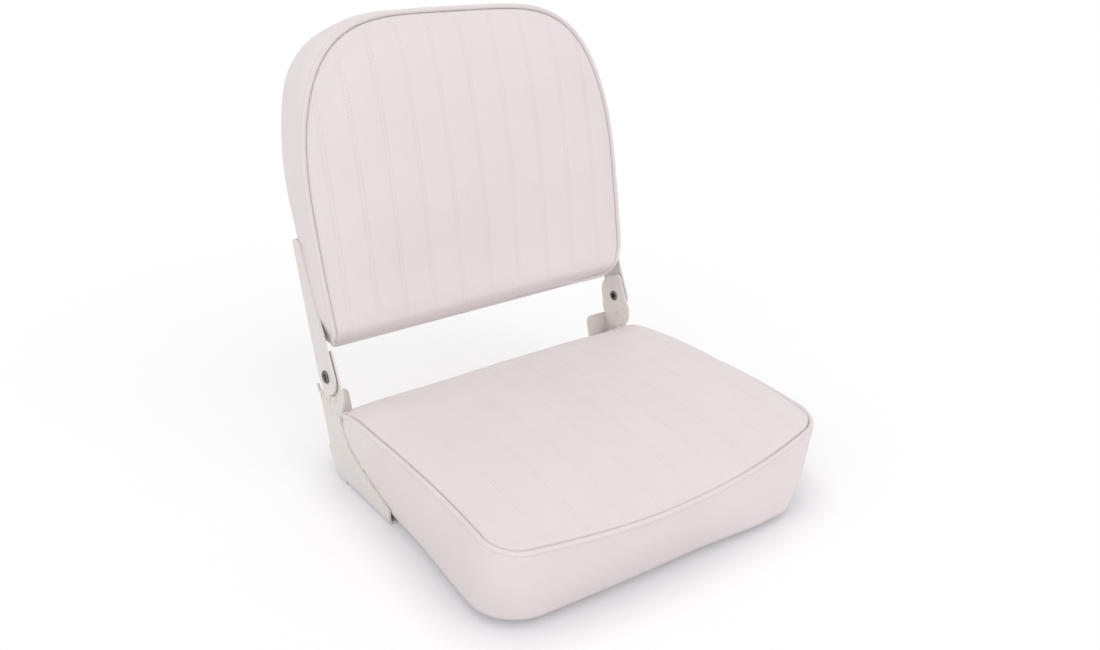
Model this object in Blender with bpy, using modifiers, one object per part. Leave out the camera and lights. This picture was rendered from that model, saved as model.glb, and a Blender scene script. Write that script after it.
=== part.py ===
"""Fold-down boat seat: a padded base, a padded low back and a pair of stamped folding hinges.

Units are metres. +Z is up, -Y is the front edge of the seat and X = 0 is the plane of symmetry.
The origin is the middle of the four-hole mounting pattern, on the underside.
"""
from math import acos, asin, atan, atan2, cos, degrees, floor, hypot, pi, radians, sin

import bmesh
import bpy
from mathutils import Matrix, Vector

# Clearance between pieces that touch, sheet thickness of the hinges and of the vinyl cover
GAP = 0.0003
PLATE = 0.0025
VINYL = 0.0014

# Base cushion, measured over the boxing band
SEAT_HALF_WIDTH = 0.206
SEAT_FRONT = 0.1945
SEAT_REAR = 0.1824
SEAT_FLARE = 0.02
SEAT_FRONT_BOW = 0.027
SEAT_BOTTOM_BOW = 0.006
SEAT_FRONT_TUCK = 0.004
SEAT_FRONT_CORNER = 0.037
SEAT_BOTTOM_CORNER = 0.052
SEAT_REAR_CORNER = 0.026
SEAT_EDGE_RADIUS = 0.014
SEAT_REAR_EDGE_RADIUS = 0.036
SEAT_REAR_SLANT = 0.24
SEAT_SIDE_DRAW = 0.0015
SEAT_HEM = 0.024
WELT_FRONT_HEIGHT = 0.0715
WELT_MIDDLE_HEIGHT = 0.092
WELT_REAR_HEIGHT = 0.060
WELT_SHOULDER = 0.100
WELT_ROLL_POWER = 2.5
SEAT_CROWN = 0.014
SEAT_CROWN_POWER = 6
SEAT_CHANNEL_PITCH = 0.041
SEAT_CHANNELS = 9

# Piping and sewn channels
WELT_RADIUS = 0.003
WELT_PROUD = 0.001
CHANNEL_DEPTH = 0.0022
CHANNEL_HALF_WIDTH = 0.005
PANEL_ROWS = 8
FOAM_SLACK = 0.0045
SEAT_FOAM_INSETS = (0.115, 0.050, 0.014)
BACK_FOAM_INSETS = (0.130, 0.060, 0.010)
BOTTOM_EDGE_TURNS = (0, pi / 4, pi / 2)
REAR_EDGE_TURNS = (pi / 4, pi / 2)

# Moulded base pan with the standard square bolt pattern of quarter-inch T-nuts
PATTERN = 0.127
FRAME_TOP = 0.0125
DECK = 0.004
RIB = 0.003
BOSS_RADIUS = 0.013
TNUT_BORE = 0.00255
TNUT_BARREL = 0.0039
TNUT_FLANGE = 0.0095
TNUT_FLANGE_THICK = 0.0014
TNUT_LENGTH = 0.010

# Hinges: stack across the pivot, sheet bends and relief cuts
SIDE_CLEARANCE = 0.0005
WASHER = 0.001
WASHER_RADIUS = 0.0095
PIVOT_RADIUS = 0.004
RIVET_HEAD_RADIUS = 0.0066
RIVET_HEAD = 0.0024
RIVET_DOME = ((0, 1), (0.6, 0.85), (0.93, 0.4), (1, 0))
RIVET_HOLLOW_RADIUS = 0.0028
RIVET_HOLLOW_DEPTH = 0.003
RIVET_ROLL = 0.0015
BEND = 0.0045
RELIEF = 0.002

# Hinge bracket under and behind the base cushion
PIVOT_HEIGHT = 0.1215
PIVOT_BEFORE_REAR = 0.0275
EAR_LEAN = radians(22)
EAR_RADIUS = 0.024
EAR_RISE = 0.003
EAR_FRONT = 0.0207
EAR_CORNER = 0.005
PAD_RADIUS = 0.0245
PAD_DROP = 0.0175
PAD_FORWARD = 0.005
JOGGLE_RUN = 0.0035
BRACKET_FRONT = 0.040
BRACKET_TIP_HEIGHT = 0.017
BRACKET_CORNER = 0.040
BRACKET_EDGE_ANGLE = 225
BRACKET_SWEEP = ((0.06, 0.43), (0.32, 0.72))
BRACKET_TOP = 0.103
BOTTOM_FLANGE = 0.044
REAR_FLANGE = 0.034
REAR_FLANGE_TOP = 0.091
REAR_FLANGE_CORNER = 0.007
STOP_REACH = 0.0255
STOP_ANGLE = radians(20)
STOP_BASE = 0.005
STOP_TIP = 0.0034
STOP_HEIGHT = 0.0034
STOP_DIMPLE = 0.0016

# Hinge arm behind the back cushion
LEAN = radians(13)
ARM_TOP = 0.151
ARM_TOP_WIDTH = 0.0205
ARM_TOP_CORNER = 0.008
ARM_FLANGE = 0.040
ARM_FLANGE_FOOT = 0.034
ARM_FLANGE_FOOT_WIDTH = 0.016
TOE_REACH = 0.027
TOE_SPAN = radians(38)
TOE_RELIEF = radians(8)

# Back cushion, in a frame that leans with its rear face and turns about the pivot
BACK_REAR = 0.0226
BACK_BOTTOM = 0.033
BACK_HEIGHT = 0.3365
BACK_WIDEST = 0.151
BACK_SIDE_GAP = 0.004
BACK_BOTTOM_TAPER = 0.0075
BACK_BOTTOM_CORNER = 0.016
BACK_ROLL = 0.022
BACK_ROLL_HEIGHT = 0.055
BACK_TOP_SIDE_POWER = 4.4
BACK_TOP_RISE_POWER = 2.14
BACK_DEPTH_BOTTOM = 0.046
BACK_DEPTH_TOP = 0.0635
BACK_EDGE_RADIUS = 0.010
BACK_SIDE_DRAW = 0.0015
BACK_HEM = 0.026
BACK_CROWN = 0.020
BACK_CROWN_POWER = 4
BACK_DOME_EASE = 1.8
BACK_CHANNEL_PITCH = 0.038
BACK_CHANNELS = 10
BACK_FRAME = 0.010
BACK_FRAME_WALL = 0.004
BACK_CELL_PITCH = 0.042
REAR_PANEL_INSET = 0.015

# Fasteners
SCREW_RADIUS = 0.002
SCREW_HEAD_RADIUS = 0.0042
SCREW_DOME = ((0, 1), (0.7, 0.9), (1, 0.4), (1, 0))
ARM_SCREW_HEAD = 0.0024
ARM_SCREW_LENGTH = 0.0145
ARM_SCREW_FROM_EDGE = 0.032
ARM_SCREWS = 3
BRACKET_SCREW_LENGTH = 0.0112
BRACKET_SCREW_FROM_EDGE = 0.036
BRACKET_SCREWS = 3
SCREW_END_MARGIN = 0.016

# Levels and planes that follow from the sizes above
SEAT_WIDEST = SEAT_HALF_WIDTH * (1 + SEAT_FLARE)
HEM_BOTTOM = PLATE + GAP
HEM_TOP = HEM_BOTTOM + VINYL
BORDER_BOTTOM = HEM_TOP + GAP
X_IN = SEAT_HALF_WIDTH + SIDE_CLEARANCE
X_OUT = X_IN + PLATE
EAR_OUT = X_IN - GAP - WASHER - GAP
EAR_IN = EAR_OUT - PLATE
PINCH_LIMIT = EAR_IN - GAP
STOP_ROOT = PLATE / 2
STOP_TAPER = (STOP_BASE - STOP_TIP) / (STOP_HEIGHT + STOP_ROOT)
STOP_AT_ARM = STOP_BASE - STOP_TAPER * (X_IN - EAR_OUT + STOP_ROOT)
SLANT_ANGLE = atan(SEAT_REAR_SLANT)
FLANGE_REAR = SEAT_REAR + 2 * GAP + PLATE / cos(SLANT_ANGLE)
PIVOT_Y = FLANGE_REAR - SEAT_REAR_SLANT * (WELT_REAR_HEIGHT - PIVOT_HEIGHT) - PIVOT_BEFORE_REAR - BEND
PIVOT = Vector((0, PIVOT_Y, PIVOT_HEIGHT))
PAD_Y = PIVOT_Y - PAD_FORWARD
PAD_Z = PIVOT_HEIGHT - PAD_DROP
ARM_END = BACK_REAR + GAP + PLATE - BEND
BACK_HALF_WIDTH = X_IN - BACK_SIDE_GAP
HEM_REAR = BACK_REAR - VINYL - GAP
BACK_FRAME_REAR = HEM_REAR - VINYL - GAP
BACK_FRAME_FRONT = BACK_FRAME_REAR - BACK_FRAME

# Finishes: colour, roughness and metallic value
COVER_FINISH = ((0.83, 0.765, 0.765), 0.45)
FOAM_FINISH = ((0.80, 0.74, 0.55), 0.9)
PAN_FINISH = ((0.10, 0.10, 0.11), 0.6)
HINGE_FINISH = ((0.80, 0.765, 0.73), 0.4)
STEEL_FINISH = ((0.50, 0.50, 0.51), 0.33, 1.0)
NYLON_FINISH = ((0.75, 0.74, 0.70), 0.5)
SIDES = (("left", -1), ("right", 1))

for old in list(bpy.data.objects):
    bpy.data.objects.remove(old, do_unlink=True)

seat_collection = bpy.data.collections.new("boat_seat")
cutter_collection = bpy.data.collections.new("cutters")
bpy.context.scene.collection.children.link(seat_collection)
bpy.context.scene.collection.children.link(cutter_collection)


def material(name, colour, roughness, metallic=0.0):
    made = bpy.data.materials.new(name)
    made.use_nodes = True
    shader = made.node_tree.nodes["Principled BSDF"]
    shader.inputs["Base Color"].default_value = (*colour, 1.0)
    shader.inputs["Roughness"].default_value = roughness
    shader.inputs["Metallic"].default_value = metallic
    return made


def place(name, mesh, finish=None, parent=None, smooth=True):
    """A part when it has a finish, otherwise a cutter."""
    made = bpy.data.objects.new(name, mesh)
    made.parent = parent
    if finish is None:
        cutter_collection.objects.link(made)
        made.hide_render = True
        made.display_type = "WIRE"
        return made
    seat_collection.objects.link(made)
    mesh.materials.append(material(name, *finish))
    if smooth:
        mesh.shade_smooth()
        mesh.set_sharp_from_angle(angle=radians(35))
    return made


def mesh_from(bm, name):
    bmesh.ops.remove_doubles(bm, verts=bm.verts, dist=1e-6)
    mesh = bpy.data.meshes.new(name)
    bm.to_mesh(mesh)
    bm.free()
    return mesh


def mirrored(mesh, name):
    """The same mesh for the other side of the seat."""
    twin = mesh.copy()
    twin.name = name
    twin.transform(Matrix.Scale(-1, 4, (1, 0, 0)))
    twin.flip_normals()
    return twin


def loft(name, rings, closed=False):
    """A surface through closed rings that have equal numbers of points."""
    bm = bmesh.new()
    rows = [[bm.verts.new(point) for point in ring] for ring in rings]
    for upper, lower in zip(rows, rows[1:]):
        for here in range(len(upper)):
            there = (here + 1) % len(upper)
            bm.faces.new((lower[here], lower[there], upper[there], upper[here]))
    if closed:
        bm.faces.new(rows[0])
        bm.faces.new(rows[-1][::-1])
    return mesh_from(bm, name)


def corners_only(outline):
    """The outline without the points that lie on its straight runs."""
    kept = []
    for number, (u, v) in enumerate(outline):
        before = outline[number - 1]
        after = outline[(number + 1) % len(outline)]
        if abs((u - before[0]) * (after[1] - v) - (v - before[1]) * (after[0] - u)) > 1e-9:
            kept.append((u, v))
    return kept


def flat_outline(name, outline, low, high):
    """A flat plate of the given outline between two heights, from a filled two-dimensional curve."""
    outline = corners_only(outline)
    curve = bpy.data.curves.new(name, "CURVE")
    curve.dimensions = "2D"
    curve.fill_mode = "BOTH"
    curve.extrude = (high - low) / 2
    spline = curve.splines.new("POLY")
    spline.points.add(len(outline) - 1)
    spline.use_cyclic_u = True
    for point, (u, v) in zip(spline.points, outline):
        point.co = (u, v, 0, 1)
    holder = bpy.data.objects.new(name, curve)
    bpy.context.scene.collection.objects.link(holder)
    bpy.context.view_layer.update()
    solid = bpy.data.meshes.new_from_object(holder.evaluated_get(bpy.context.evaluated_depsgraph_get()))
    bpy.data.objects.remove(holder)
    bm = bmesh.new()
    bm.from_mesh(solid)
    bmesh.ops.translate(bm, verts=bm.verts, vec=(0, 0, (low + high) / 2))
    bmesh.ops.remove_doubles(bm, verts=bm.verts, dist=1e-6)
    bmesh.ops.recalc_face_normals(bm, faces=bm.faces)
    mesh = mesh_from(bm, name)
    bpy.data.meshes.remove(solid)
    return mesh


def upright(mesh):
    """Stands a flat mesh up: its second axis becomes +Z and its thickness runs along -Y."""
    mesh.transform(Matrix.Rotation(pi / 2, 4, "X"))
    return mesh


def tube(name, points, radius, finish, parent=None):
    """A closed loop of round piping."""
    curve = bpy.data.curves.new(name, "CURVE")
    curve.dimensions = "3D"
    curve.bevel_depth = radius
    curve.bevel_resolution = 1
    spline = curve.splines.new("POLY")
    spline.points.add(len(points) - 1)
    spline.use_cyclic_u = True
    for target, point in zip(spline.points, points):
        target.co = (*point, 1)
    made = bpy.data.objects.new(name, curve)
    made.parent = parent
    seat_collection.objects.link(made)
    curve.materials.append(material(name, *finish))
    return made


def turned(name, profile, finish=None, parent=None, segments=16, ring=False):
    """A turned piece: the profile of (radius, height) runs down its outer side."""
    bm = bmesh.new()
    points = [bm.verts.new((radius, 0, height)) for radius, height in profile]
    for upper, lower in zip(points, points[1:]):
        bm.edges.new((upper, lower))
    if ring:
        bm.edges.new((points[-1], points[0]))
    made = place(name, mesh_from(bm, name), finish, parent, smooth=False)
    screw = made.modifiers.new("Turn", "SCREW")
    screw.steps = segments
    screw.render_steps = segments
    screw.use_merge_vertices = True
    screw.merge_threshold = 1e-5
    screw.use_smooth_shade = finish is not None
    return made


def solidify(piece, thickness, offset=-1):
    shell = piece.modifiers.new("Thickness", "SOLIDIFY")
    shell.thickness = thickness
    shell.offset = offset
    shell.use_even_offset = True
    return piece


def boolean(piece, other, operation="DIFFERENCE"):
    step = piece.modifiers.new(operation.title(), "BOOLEAN")
    step.operation = operation
    step.object = other
    return piece


def arc(centre, radius, start, end, count):
    """Points on an arc, angles in degrees from the first axis towards the second."""
    turns = [radians(start + (end - start) * step / count) for step in range(count + 1)]
    return [(centre[0] + radius * cos(turn), centre[1] + radius * sin(turn)) for turn in turns]


def bezier(start, pull, push, end, count):
    points = []
    for step in range(count + 1):
        t = step / count
        weights = ((1 - t) ** 3, 3 * t * (1 - t) ** 2, 3 * t * t * (1 - t), t ** 3)
        pairs = list(zip(weights, (start, pull, push, end)))
        points.append(tuple(sum(weight * point[axis] for weight, point in pairs) for axis in (0, 1)))
    return points


def blend(start, end, value):
    """A smooth step from 0 at start to 1 at end."""
    t = min(1.0, max(0.0, (value - start) / (end - start)))
    return t * t * (3 - 2 * t)


def both_halves(half):
    """A closed outline from its +X half, which runs from the middle of one edge to the other."""
    return half + [(-u, v) for u, v in half[-2:0:-1]]


def grid(name, columns, rows, point):
    """A sheet of quads over columns and rows, facing the way the second axis turns from the first."""
    bm = bmesh.new()
    lines = [[bm.verts.new(point(u, v)) for v in rows] for u in columns]
    for line, following in zip(lines, lines[1:]):
        for step in range(len(rows) - 1):
            bm.faces.new((line[step], following[step], following[step + 1], line[step + 1]))
    return mesh_from(bm, name)


def cylinders(name, places, radius, low, high, parent=None, tip_radius=None, sides=20):
    """A cutter of upright cylinders or cones, from low to high along each place's own Z axis."""
    bm = bmesh.new()
    for place_matrix in places:
        middle = place_matrix @ Matrix.Translation((0, 0, (low + high) / 2))
        bmesh.ops.create_cone(bm, cap_ends=True, segments=sides, radius1=radius, radius2=tip_radius or radius,
                              depth=high - low, matrix=middle)
    return place(name, mesh_from(bm, name), parent=parent)


def boxes(name, corners, parent=None):
    """A cutter of boxes, each given by its lowest and highest corner."""
    bm = bmesh.new()
    for low, high in corners:
        size = Vector(high) - Vector(low)
        middle = (Vector(high) + Vector(low)) / 2
        bmesh.ops.create_cube(bm, size=1, matrix=Matrix.Translation(middle) @ Matrix.Diagonal((*size, 1)))
    return place(name, mesh_from(bm, name), parent=parent)


def channel_columns(pitch, count, edge):
    """Columns of a channelled sheet: each sewn line with its two flanks, and the borders."""
    columns = {-edge, edge}
    for line in range(count):
        middle = (line - (count - 1) / 2) * pitch
        columns |= {middle - CHANNEL_HALF_WIDTH, middle, middle + CHANNEL_HALF_WIDTH}
    outer = (count - 1) / 2 * pitch
    columns |= {-(outer + edge) / 2, (outer + edge) / 2}
    return sorted(columns)


def channel_dip(x, pitch, count):
    """How far a sewn line draws the cover in at this distance from the middle."""
    line = round(x / pitch + (count - 1) / 2) - (count - 1) / 2
    if abs(line) > (count - 1) / 2:
        return 0.0
    return CHANNEL_DEPTH * max(0.0, 1 - abs(x - line * pitch) / CHANNEL_HALF_WIDTH)


def steps(start, end, count):
    return [start + (end - start) * step / count for step in range(count + 1)]


def eased_steps(start, end, count):
    """Steps that draw closer together towards both ends."""
    return [start + (end - start) * (share + blend(0, 1, share)) / 2 for share in steps(0, 1, count)]


# Base cushion


def welt_height(y):
    """Height of the base cushion's piping: low at the front, level at the middle, rolling down behind."""
    if y < 0:
        return WELT_MIDDLE_HEIGHT - (WELT_MIDDLE_HEIGHT - WELT_FRONT_HEIGHT) * (y / SEAT_FRONT) ** 2
    roll = max(0.0, y - WELT_SHOULDER) / (SEAT_REAR - WELT_SHOULDER)
    return WELT_MIDDLE_HEIGHT - (WELT_MIDDLE_HEIGHT - WELT_REAR_HEIGHT) * roll ** WELT_ROLL_POWER


def held_in(x, y, free, held):
    """Draws the cushion's side in where the hinge ear presses against it and lets it flare to the front."""
    pad_front = PAD_Y - PAD_RADIUS - JOGGLE_RUN
    limit = free + (held - free) * blend(pad_front - 3 * PAD_RADIUS, pad_front - PAD_RADIUS, y)
    return max(-limit, min(limit, x)) * (1 + SEAT_FLARE * blend(BRACKET_FRONT, -SEAT_FRONT, y))


def seat_outline(half_width, front, rear, bow, front_corner, rear_corner):
    """Plan of the cushion: bowed front edge, round corners, straight sides and rear."""
    bow_radius = (half_width ** 2 + bow ** 2) / (2 * bow)
    lean = asin((half_width - front_corner) / (bow_radius - front_corner))
    front_edge = [(bow_radius * sin(turn), bow_radius * (1 - cos(turn)) - front) for turn in steps(0, lean, 5)]
    corner_y = bow_radius - front - (bow_radius - front_corner) * cos(lean)
    corner = arc((half_width - front_corner, corner_y), front_corner, degrees(lean) - 90, 0, 5)
    side_end = rear - rear_corner
    side = [(half_width, y) for y in steps(corner_y, side_end, 6)]
    rear_arc = arc((half_width - rear_corner, side_end), rear_corner, 0, 90, 4)
    rear_edge = [(x, rear) for x in steps(half_width - rear_corner, 0, 3)]
    return both_halves(front_edge[:-1] + corner + side[1:-1] + rear_arc + rear_edge[1:])


def lowered(share, draw, inset=0.0):
    """Half width, front, bow and front corner of the boxing a share of the way down, drawn in all round."""
    front = SEAT_FRONT - SEAT_FRONT_TUCK * share
    bow = SEAT_FRONT_BOW + (SEAT_BOTTOM_BOW - SEAT_FRONT_BOW) * share
    corner = SEAT_FRONT_CORNER + (SEAT_BOTTOM_CORNER - SEAT_FRONT_CORNER) * share
    return SEAT_HALF_WIDTH - draw, front - draw, bow, corner - inset


def edge_share():
    """How far down the wall its rounded bottom edge starts."""
    return 1 - SEAT_EDGE_RADIUS / WELT_FRONT_HEIGHT


def seat_ring(angle, inset):
    """One ring of the boxing where its bottom edge has turned by the angle, from upright to underneath."""
    turn_in = 1 - cos(angle)
    drop = 1 - sin(angle)
    side_z = HEM_BOTTOM + inset + (SEAT_EDGE_RADIUS - inset) * drop
    rear_z = HEM_BOTTOM + inset + (SEAT_REAR_EDGE_RADIUS - inset) * drop
    side_in = inset + (SEAT_EDGE_RADIUS - inset) * turn_in
    rear_in = inset + (SEAT_REAR_EDGE_RADIUS - inset) * turn_in + SEAT_REAR_SLANT * (WELT_REAR_HEIGHT - rear_z)
    half_width, front, bow, corner = lowered(1 - (1 - edge_share()) * drop, side_in, inset)
    outline = seat_outline(half_width, front, SEAT_REAR - rear_in, bow, corner, SEAT_REAR_CORNER - inset)
    return [(held_in(x, y, SEAT_HALF_WIDTH - inset, PINCH_LIMIT - inset), y,
             side_z + (rear_z - side_z) * blend(0, SEAT_REAR, y)) for x, y in outline]


def seat_wall_ring(share, inset, top_drop):
    """One ring of the upright wall, the share of the way down from the welt to the rounded bottom edge."""
    edge = seat_ring(0, inset)
    edge_rear = max(y for x, y, z in edge)
    draw = inset + SEAT_SIDE_DRAW * sin(pi * share)
    rear = (SEAT_REAR - inset - SEAT_REAR_SLANT * top_drop) * (1 - share) + edge_rear * share
    half_width, front, bow, corner = lowered(share * edge_share(), draw, inset)
    outline = seat_outline(half_width, front, rear, bow, corner, SEAT_REAR_CORNER - inset)
    return [(held_in(x, y, SEAT_HALF_WIDTH - inset, PINCH_LIMIT - inset), y,
             (welt_height(y) - top_drop) * (1 - share) + low[2] * share)
            for (x, y), low in zip(outline, edge)]


def seat_bottom_outline(inset):
    """Plan of the flat underside, moved in from where the rounded bottom edge meets it."""
    half_width, front, bow, corner = lowered(1, SEAT_EDGE_RADIUS + inset)
    rear = max(y for x, y, z in seat_ring(pi / 2, 0)) - inset
    return seat_outline(half_width, front, rear, bow, corner, SEAT_REAR_CORNER)


def seat_seam(inset):
    """Plan of the seam line under the welt, moved in by the inset."""
    free = SEAT_HALF_WIDTH + WELT_PROUD - inset
    corner = max(SEAT_FRONT_CORNER - inset, SEAT_REAR_CORNER / 2)
    outline = seat_outline(free, SEAT_FRONT + WELT_PROUD - inset, SEAT_REAR - WELT_RADIUS - inset,
                           SEAT_FRONT_BOW, corner, max(SEAT_REAR_CORNER - inset, SEAT_REAR_CORNER / 2))
    return [(held_in(x, y, free, PINCH_LIMIT - WELT_RADIUS - inset), y) for x, y in outline]


def seat_crown(x, y):
    """Height of the crowned top above the welt."""
    across = max(0.0, 1 - (abs(x) / SEAT_WIDEST) ** SEAT_CROWN_POWER)
    if y < 0:
        along = max(0.0, 1 - (y / SEAT_FRONT) ** 4)
    else:
        along = 1 - blend(WELT_SHOULDER, SEAT_REAR, y)
    return SEAT_CROWN * across * along


def seat_top(x, y):
    return welt_height(y) + seat_crown(x, y) - channel_dip(x, SEAT_CHANNEL_PITCH, SEAT_CHANNELS)


def foam_top(x, y):
    return welt_height(y) + seat_crown(x, y) - CHANNEL_DEPTH - VINYL - FOAM_SLACK


def build_seat_cushion():
    wall_top = WELT_RADIUS + GAP
    rings = [seat_wall_ring(share, 0, wall_top) for share in (0, 0.5)]
    rings += [seat_ring(angle, 0) for angle in BOTTOM_EDGE_TURNS]
    rings.append([(x, y, HEM_BOTTOM) for x, y in seat_bottom_outline(SEAT_HEM)])
    boxing = solidify(place("seat_boxing", loft("seat_boxing", rings), COVER_FINISH), VINYL)

    tube("seat_welt", [(x, y, welt_height(y)) for x, y in seat_seam(0)], WELT_RADIUS, COVER_FINISH)

    edge = WELT_RADIUS + GAP
    columns = channel_columns(SEAT_CHANNEL_PITCH, SEAT_CHANNELS, SEAT_WIDEST)
    rows = eased_steps(-SEAT_FRONT - edge, SEAT_REAR + edge, PANEL_ROWS)
    sheet = grid("seat_top_panel", columns, rows, lambda x, y: (x, y, seat_top(x, y)))
    panel = solidify(place("seat_top_panel", sheet, COVER_FINISH), VINYL)
    highest = WELT_MIDDLE_HEIGHT + 2 * SEAT_CROWN
    outline = place("seat_top_outline", flat_outline("seat_top_outline", seat_seam(edge), 0, highest))
    boolean(panel, outline, "INTERSECT")

    inside = VINYL + FOAM_SLACK / 2
    foam = [[(x, y, foam_top(x, y)) for x, y in seat_seam(inset)] for inset in SEAT_FOAM_INSETS]
    foam += [seat_wall_ring(share, inside, wall_top + FOAM_SLACK) for share in (0, 0.5, 1)]
    foam.append([(x, y, FRAME_TOP + GAP) for x, y in seat_bottom_outline(GAP)])
    place("seat_foam", loft("seat_foam", foam, closed=True), FOAM_FINISH)
    return boxing


def pattern_corners():
    return [(x * PATTERN / 2, y * PATTERN / 2) for x in (-1, 1) for y in (-1, 1)]


def build_seat_frame():
    """Moulded pan: a flat border over the turned-under cover and a ribbed middle that reaches down to Z = 0."""
    cell = PATTERN / 3
    border = seat_bottom_outline(GAP)
    hem_edge = seat_bottom_outline(SEAT_HEM + 2 * GAP)
    across = floor((max(x for x, y in hem_edge) - RIB / 2) / cell)
    before = floor((-min(y for x, y in hem_edge) - RIB / 2 - SEAT_BOTTOM_BOW) / cell)
    behind = floor((max(y for x, y in hem_edge) - RIB / 2) / cell)
    frame = place("seat_frame", flat_outline("seat_frame", border, BORDER_BOTTOM, FRAME_TOP), PAN_FINISH)
    low = (-across * cell - RIB / 2, -before * cell - RIB / 2, 0)
    high = (across * cell + RIB / 2, behind * cell + RIB / 2, FRAME_TOP - DECK / 2)
    boolean(frame, boxes("seat_frame_middle", [(low, high)]), "UNION")
    pockets = []
    for column in range(-across, across):
        for row in range(-before, behind):
            corner = (column * cell + RIB / 2, row * cell + RIB / 2, -DECK)
            pockets.append((corner, (corner[0] + cell - RIB, corner[1] + cell - RIB, FRAME_TOP - DECK)))
    boolean(frame, boxes("seat_frame_pockets", pockets))
    places = [Matrix.Translation((x, y, 0)) for x, y in pattern_corners()]
    boolean(frame, cylinders("tnut_bosses", places, BOSS_RADIUS, 0, FRAME_TOP - DECK / 2), "UNION")
    boolean(frame, cylinders("tnut_bores", places, TNUT_BARREL + GAP, -DECK, FRAME_TOP + DECK))
    seat_depth = FRAME_TOP - TNUT_FLANGE_THICK - GAP
    boolean(frame, cylinders("tnut_seats", places, TNUT_FLANGE + GAP, seat_depth, FRAME_TOP + DECK))
    top = FRAME_TOP
    under = top - TNUT_FLANGE_THICK
    foot = top - TNUT_LENGTH
    profile = [(TNUT_BORE, top), (TNUT_FLANGE, top), (TNUT_FLANGE, under), (TNUT_BARREL, under),
               (TNUT_BARREL, foot), (TNUT_BORE, foot)]
    for number, (x, y) in enumerate(pattern_corners(), 1):
        nut = turned(f"t_nut_{number}", profile, STEEL_FINISH, segments=12, ring=True)
        nut.location = (x, y, 0)
    return frame


# Hinges


def hinge_axis(side):
    """Local Z of a turned piece points out of the seat along X."""
    return (0, side * pi / 2, 0)


def rear_line(z):
    """Outside of the bracket's rear flange at a height: it slopes with the cushion."""
    return FLANGE_REAR - SEAT_REAR_SLANT * (WELT_REAR_HEIGHT - z)


def sheet_mesh(name, polygons):
    """A pressed sheet's outer surface, facing +X on its side plate."""
    bm = bmesh.new()
    for polygon in polygons:
        bm.faces.new([bm.verts.new(point) for point in polygon])
    bmesh.ops.remove_doubles(bm, verts=bm.verts, dist=1e-6)
    bmesh.ops.recalc_face_normals(bm, faces=bm.faces)
    bm.faces.ensure_lookup_table()
    if bm.faces[0].normal.x < 0:
        bmesh.ops.reverse_faces(bm, faces=bm.faces)
    return mesh_from(bm, name)


def bend_strips(line, outward, segments=3):
    """Quads that turn a sheet from the side plate through a right angle, along a line of (y, z) points."""
    def at(point, turn):
        reach = BEND * sin(turn)
        return (X_OUT - BEND * (1 - cos(turn)), point[0] + reach * outward[0], point[1] + reach * outward[1])
    turns = steps(0, pi / 2, segments)
    start, end = line
    return [[at(start, here), at(end, here), at(end, there), at(start, there)]
            for here, there in zip(turns, turns[1:])]


def bracket_layout():
    """Where the bracket's rounded rear corner starts and where its flanges begin and end."""
    tangent = BRACKET_CORNER / tan_half_corner()
    corner_start = rear_line(0) - tangent
    corner_top = tangent * cos(SLANT_ANGLE)
    return corner_start, corner_top + RELIEF, corner_start - RELIEF


def tan_half_corner():
    half = (pi / 2 + SLANT_ANGLE) / 2
    return sin(half) / cos(half)


def on_ear(back, up):
    """A point of the hinge plane, behind and above the pivot along the leaning ear."""
    return (PIVOT_Y + back * cos(EAR_LEAN) + up * sin(EAR_LEAN),
            PIVOT_HEIGHT - back * sin(EAR_LEAN) + up * cos(EAR_LEAN))


def ear_edge(pad, ear_centre, behind):
    """Free edge of the ear: round behind, flat on top and straight down its front to the round pad."""
    upward = 90 - degrees(EAR_LEAN)
    forward = upward + 90
    edge = arc(ear_centre, EAR_RADIUS, behind, upward, 9)
    corner = on_ear(EAR_CORNER - EAR_FRONT, EAR_RISE + EAR_RADIUS - EAR_CORNER)
    edge += arc(corner, EAR_CORNER, upward, forward, 4)
    across = EAR_FRONT - PAD_FORWARD * cos(EAR_LEAN) + PAD_DROP * sin(EAR_LEAN)
    meeting = forward - degrees(acos(min(1.0, across / PAD_RADIUS)))
    return edge + arc(pad, PAD_RADIUS, meeting, BRACKET_EDGE_ANGLE, 5)[:-1]


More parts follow.
